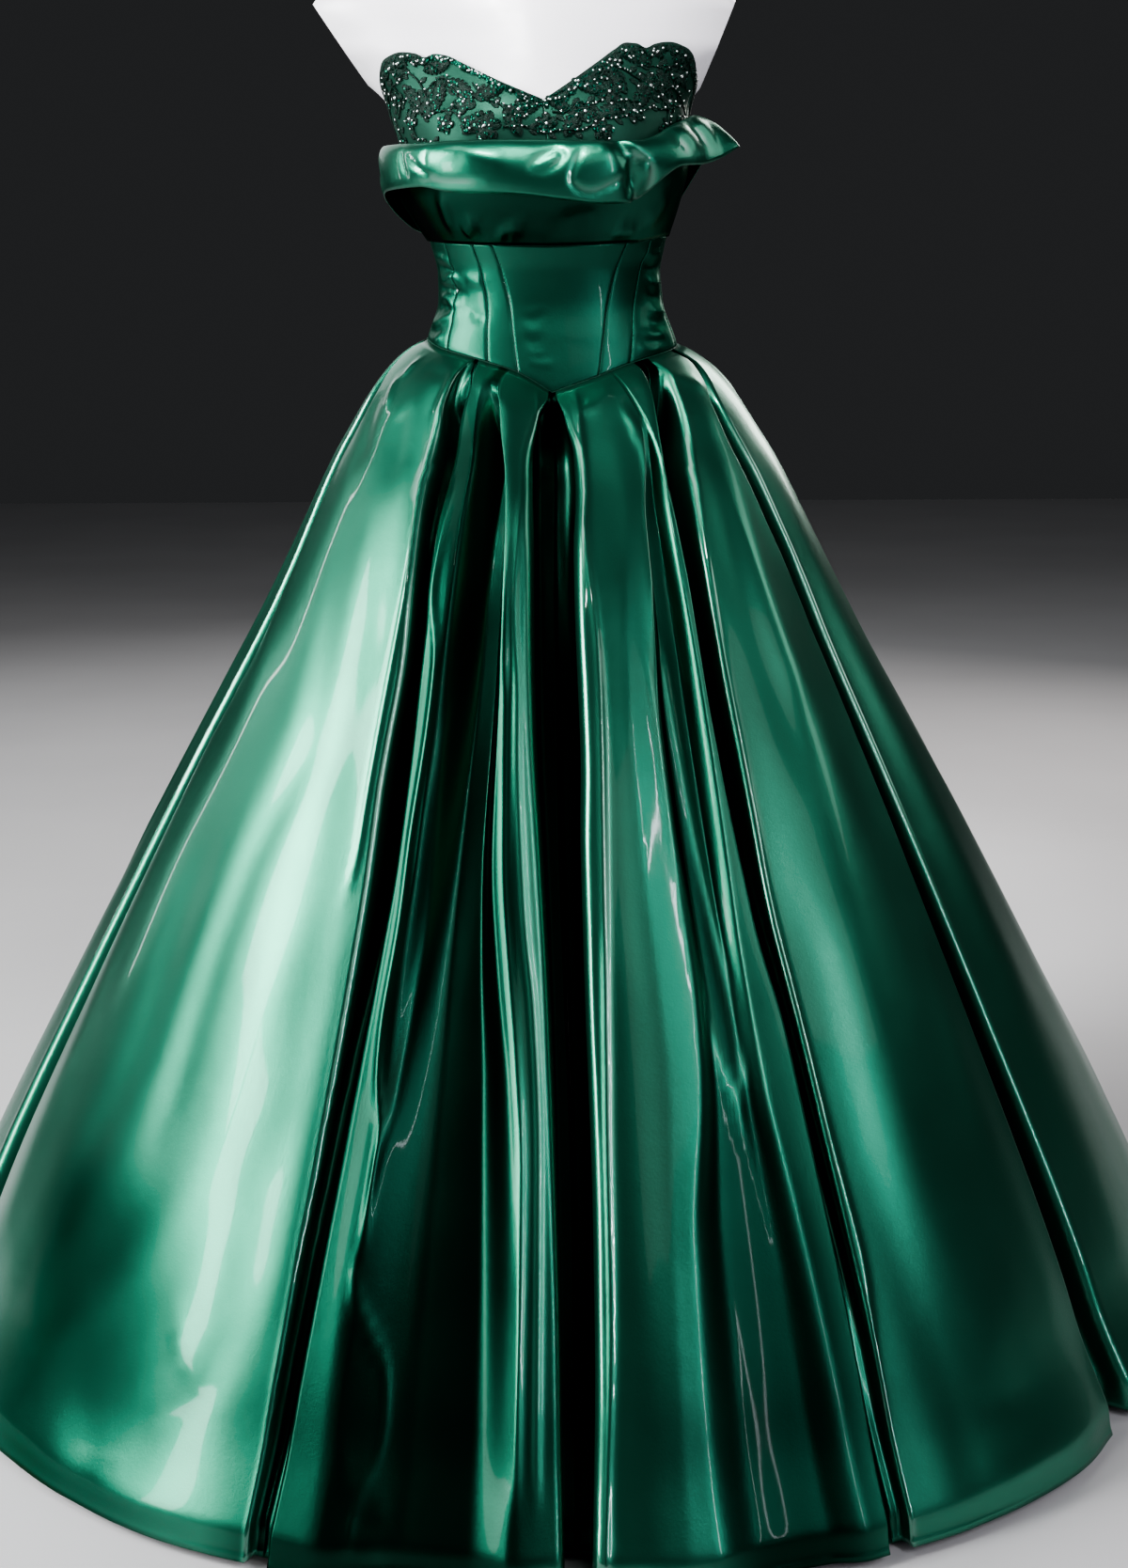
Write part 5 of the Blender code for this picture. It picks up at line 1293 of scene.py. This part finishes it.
def lace():
    patches, cords, sequins, beads = Pile(), Pile(), [], []

    def sew(places, spot, rise, least, most):
        places.append((*spot, rise, random.uniform(least, most)))

    for right, left in zip(BODICE_SEAMS, BODICE_SEAMS[1:]):
        add_border(patches, right + 0.2, left - 0.2)
    for leaf in LEAVES:
        azimuth, height, rise = leaf_grid(leaf)
        add_patch(patches, azimuth, height, rise)
        add_cord(cords, *(np.concatenate([grid[:, 0], grid[::-1, -1]]) for grid in (azimuth, height)))
        for _ in range(16):
            along, side = random.uniform(-0.42, 0.42), random.uniform(-0.8, 0.8)
            spot = on_shape(leaf, side * leaf_half(leaf, along), along * leaf.length)
            sew(sequins, spot, 0.0014, 0.0010, 0.0016)
    for flower in FLOWERS:
        azimuth, height, rise = flower_grid(flower)
        add_patch(patches, azimuth, height, rise)
        add_cord(cords, azimuth[0], height[0])
        for _ in range(26):
            angle, share = random.uniform(0, 2 * np.pi), np.sqrt(random.uniform(0.05, 0.9))
            sew(sequins, on_flower(flower, angle, share), 0.0018, 0.0010, 0.0016)
        for k in range(flower.petals):
            spot = on_flower(flower, 2 * np.pi * k / flower.petals, 0.9)
            if random.random() < 0.7:
                sew(beads, spot, 0.0008, 0.0009, 0.0014)
        beads.append((*on_shape(flower, 0, 0), 0.0010, 0.0018))
    for vine in VINES:
        azimuth, below = run_through(path_of(vine), 10).T
        height = neckline(azimuth) - below
        add_cord(cords, azimuth, height, 0.0010)
        for k in range(3, len(azimuth) - 2, 6):
            way = 1 if k % 12 < 6 else -1
            small = Leaf(azimuth[k] + way * 2.2, below[k] - way * 0.003, 0.010, 0.0052, way * 55)
            add_patch(patches, *leaf_grid(small))
        for k in range(1, len(azimuth), 3):
            spot = azimuth[k] + random.normal(0, 0.4), height[k] + random.normal(0, 0.0008)
            sew(sequins, spot, 0.0022, 0.0009, 0.0013)
            if random.random() < 0.45:
                sew(beads, (spot[0] + 0.9, spot[1]), 0.0006, 0.0008, 0.0013)
    for azimuth in np.arange(-CUPS_END, CUPS_END, BORDER_ROWS):
        top, depth = neckline(azimuth), border_depth(azimuth)
        for share in (0.25, 0.6, 0.9):
            spot = azimuth + random.normal(0, 0.3), top - share * depth
            if random.random() < 0.75:
                sew(sequins, spot, 0.0014, 0.0009, 0.0015)
        if random.random() < 0.34:
            sew(beads, (azimuth, top - random.uniform(0.2, 0.9) * depth), 0.0011, 0.0009, 0.0015)
    discs, balls = Pile(), Pile()
    add_sequins(discs, sequins)
    add_beads(balls, beads)
    for name, pile, paint in (
        ("lace_patches", patches, lace_paint), ("lace_cords", cords, lace_paint),
        ("lace_sequins", discs, sequin_paint), ("lace_beads", balls, bead_paint),
    ):
        add_mesh(name, pile.points, pile.faces, paint, "beaded_lace", name != "lace_sequins")


# ---- Stitches and trim
STITCHES = 34  # up each side of a seam
STITCH_HALF_LENGTH = 0.0009
STITCH_RADIUS = 0.00028
STITCH_ASIDE = 0.9  # degrees from the seam


def sewing():
    """Small stitches along both sides of the corset's seams, and the cords of the waist and bust seams."""
    stitches, cords = Pile(), Pile()
    up = (np.arange(STITCHES) + 0.5)[:, None] / STITCHES
    along = np.array([-STITCH_HALF_LENGTH, 0.0, STITCH_HALF_LENGTH])
    for seam in CORSET_SEAMS[1:]:
        azimuth = seam.foot + (seam.top - seam.foot) * up
        foot = basque(azimuth)
        height = foot + (underbust(azimuth) - foot) * up + along
        for side in (-1, 1):
            places = azimuth + side * STITCH_ASIDE + 0 * height
            centres = on_figure(places, height, FORM_GAP + CORSET_WALL - 0.0002)
            for centre, place in zip(centres, places):
                add_tube(stitches, centre, polar(place, 1.0, 0.0), STITCH_RADIUS, 4)
    azimuth = np.linspace(-180, 180, 721)
    for edge, sunk, radius in ((basque, 0.0004, 0.0009), (underbust, 0.0006, 0.0007)):
        centre = on_figure(azimuth, edge(azimuth), FORM_GAP + (CORSET_WALL - sunk))
        add_tube(cords, centre, polar(azimuth, 1.0, 0.0), radius)
    for name, pile in (("corset_stitches", stitches), ("seam_cords", cords)):
        add_mesh(name, pile.points, pile.faces, thread_paint, "emerald_satin")


# ---- The drape
DRAPE_SHADE = 0.82  # how much painted shade darkens the band under its flap
# the painted shade over the flap
FLAP_SHADE = 0.22
DRAPE_SPANS = 6  # rows from each of the section's points to the next
DRAPE_COLUMNS = 430
DRAPE_TRIALS = 2881  # columns, before they are evened out
DRAPE_FINER, DRAPE_FRONT = 0.7, 85  # how much closer they are in front, and how far round
FLAP_EDGE = 0.0014  # the free edge's roll


def drape_columns():
    """Azimuths that are evenly apart along the free edge or the fold, and closer in front."""
    azimuth = np.linspace(-180, 180, DRAPE_TRIALS)
    outs, heights = tucked_section(azimuth)
    steps = np.maximum(*(
        np.linalg.norm(np.diff(on_figure(azimuth, heights[k], outs[k]), axis=0), axis=-1) for k in (-1, 5)
    ))
    front = 1 + DRAPE_FINER * bell(azimuth[1:] / DRAPE_FRONT, 4)
    total = np.concatenate([[0], np.cumsum(steps * front)])
    return np.interp(np.linspace(0, total[-1], DRAPE_COLUMNS), total, azimuth)


def drape():
    azimuth = drape_columns()
    section = np.stack(tucked_section(azimuth), axis=-1)
    # a smooth section through its points, then more rows
    points = run_through(section.reshape(len(section), -1), DRAPE_SPANS).reshape(-1, len(azimuth), 2)
    outs, heights = points[..., 0], points[..., 1]
    rows_up = np.arange(len(outs))[:, None] / DRAPE_SPANS
    flap = ease((rows_up - 4.6) / 1.2)
    wide = np.broadcast_to(azimuth, heights.shape)
    radius = figure_radius(wide, heights) + outs
    over = strokes_rise(DRAPE_STROKES, wide, heights, radius)
    under = strokes_rise(UNDER_STROKES, wide, heights, radius)
    rise = over * flap + under * (1 - ease((rows_up - 3.2) / 1.2)) * ease(rows_up / 0.6)
    middle = on_figure(wide, heights, outs)
    edge = FLAP_EDGE * bell((len(outs) - 1 - np.arange(len(outs))) / 1.3)[:, None]
    outer = middle + grid_normals(middle) * (DRAPE_WALL / 2 + rise + edge)[..., None]
    # less painted shade under the flap towards the wearer's left side
    under_shade = DRAPE_SHADE - 0.30 * ease((wide - 16) / 30) * ease((100 - wide) / 30)
    shaded = FLAP_SHADE + (under_shade - FLAP_SHADE) * (1 - ease((rows_up - 2.6) / 1.4))
    # a painted gleam along the flap's thin strokes
    gleam = np.clip(over / 0.0016, 0, 1) * flap
    cloth_panel("drape_satin", "drape_band", outer, grid_normals(outer), satin, "emerald_satin",
                shaded * (1 - gleam) - gleam)


# ---- The form and its stand
SHELL_HEIGHTS = [
    *column(FIGURE, "height")[:3], *np.linspace(0.885, 1.30, 32), *np.linspace(1.3035, 1.585, 58)
]
SHELL_SIDES = 180
SHARP_EDGE = 40  # degrees, from which the shell's edges aren't smoothed


def form_shell():
    """The form's white shell, with flat arm plates."""
    azimuth = np.arange(SHELL_SIDES) * 360 / SHELL_SIDES
    points = np.concatenate([on_figure(azimuth, height, 0.0) for height in SHELL_HEIGHTS])
    faces = tube_faces(len(SHELL_HEIGHTS), SHELL_SIDES)
    obj = add_mesh("form_shell", points, faces, white_shell, "form_shell")
    obj.data.materials.append(arm_plate)
    shape = bmesh.new()
    shape.from_mesh(obj.data)
    for side in (-1, 1):
        foot, tip = (
            Vector((float(table(FIGURE, "lean", height)) + side * out, 0, height))
            for out, height in (PLATE_FOOT, PLATE_TIP)
        )
        above = [face for face in shape.faces if face.calc_center_median().z > foot.z - 0.001]
        edges = dict.fromkeys(edge for face in above for edge in face.edges)
        corners = dict.fromkeys(point for face in above for point in face.verts)
        slope = tip - foot
        away = Vector((side * slope.z, 0, -side * slope.x))
        bmesh.ops.bisect_plane(
            shape, geom=[*corners, *edges, *above], plane_co=tip, plane_no=away, clear_outer=True
        )
        rim = [edge for edge in shape.edges if edge.is_boundary]
        for face in bmesh.ops.holes_fill(shape, edges=rim, sides=0)["faces"]:
            face.material_index = 1
    bmesh.ops.remove_doubles(shape, verts=shape.verts, dist=1e-5)
    bmesh.ops.recalc_face_normals(shape, faces=shape.faces)
    shape.to_mesh(obj.data)
    shape.free()
    obj.data.shade_smooth()
    obj.data.set_sharp_from_angle(angle=np.radians(SHARP_EDGE))
    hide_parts("dress_form_torso")


def stand():
    for name, paint in (("form_base", metal), ("form_pole", metal), ("form_neck_cap", cap_shell)):
        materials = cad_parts[name].data.materials
        materials.clear()
        materials.append(paint)


# ---- Floor, lights and camera
FLOOR_REACH = 9.0
SENSOR = 36.0  # millimetres
FOCAL = 2200 / 1668  # the lens's focal length, in heights of the frame
CAMERA_PLACE = (0.009, -2.342, 1.134)
CAMERA_DOWN, CAMERA_ROLL = 13.5, 0.25  # degrees below level, and clockwise


def add_light(name, kind, location, target, power, **settings):
    """A light that looks at its target."""
    data = bpy.data.lights.new(name, kind)
    data.energy = power
    for key, value in settings.items():
        setattr(data, key, value)
    obj = place_object(name, data)
    obj.location = location
    obj.rotation_euler = (Vector(target) - Vector(location)).to_track_quat("-Z", "Y").to_euler()


def surroundings():
    corners = [(x * FLOOR_REACH, y * FLOOR_REACH, 0) for x, y in ((-1, -1), (1, -1), (1, 1), (-1, 1))]
    add_mesh("floor", corners, [(0, 1, 2, 3)], floor_paint, None, smooth_shade=False)
    white = (1, 1, 1)
    for name, location, target, size, power, colour in (
        ("key", (-2.92, -0.92, 2.2), (-0.35, -0.35, 0.85), (1.3, 1.4), 142, white),
        ("key_low", (-2.35, -1.65, 1.05), (-0.3, -0.5, 0.4), (0.5, 1.1), 40, white),
        ("fill", (2.1, -3.05, 3.3), (0, 0, 0.7), (4.2, 1.8), 31, white),
        ("side", (3.2, 0.5, 2.5), (0, 0, 0.7), (1.6, 1.2), 16, white),
        ("top", (-1.5, -0.9, 3.6), (0, 0, 1.2), (1.2, 1.0), 14, white),
        ("rim", (1.7, 2.9, 2.2), (0, 0, 0.8), (0.8, 1.8), 40, (1.0, 0.93, 0.90)),
        ("back", (-1.4, 3.4, 2.6), (0, 0, 0.7), (2.6, 2.0), 26, white),
        ("strip_left", (-2.9, 1.2, 1.8), (0, 0, 1.2), (0.05, 2.2), 12, white),
        ("strip_right", (1.75, -2.4, 2.0), (0, 0, 1.6), (0.03, 2.6), 30, (0.94, 0.90, 1.0)),
    ):
        add_light(name, "AREA", location, target, power, shape="RECTANGLE", size=size[0], size_y=size[1],
                  color=colour)
    add_light("bust_spot", "SPOT", (-0.5, -1.6, 3.3), (0, -0.05, 1.52), 535, spot_size=np.radians(19),
              spot_blend=0.6, shadow_soft_size=0.25)
    world = bpy.data.worlds.new("studio")
    world.use_nodes = True
    sky = world.node_tree.nodes["Background"].inputs
    sky["Color"].default_value = (0.85, 0.88, 0.92, 1)
    sky["Strength"].default_value = 0.03
    scene.world = world
    scene.view_settings.view_transform = "AgX"
    scene.view_settings.look = "AgX - Medium High Contrast"


def camera():
    data = bpy.data.cameras.new("camera")
    data.lens = FOCAL * SENSOR
    data.sensor_width = SENSOR
    obj = place_object("camera", data)
    obj.matrix_world = (
        Matrix.Translation(CAMERA_PLACE)
        @ Matrix.Rotation(np.radians(90 - CAMERA_DOWN), 4, "X")
        @ Matrix.Rotation(np.radians(-CAMERA_ROLL), 4, "Z")
    )
    scene.camera = obj


camera()
skirt()
corset()
bodice()
lace()
drape()
sewing()
form_shell()
stand()
surroundings()
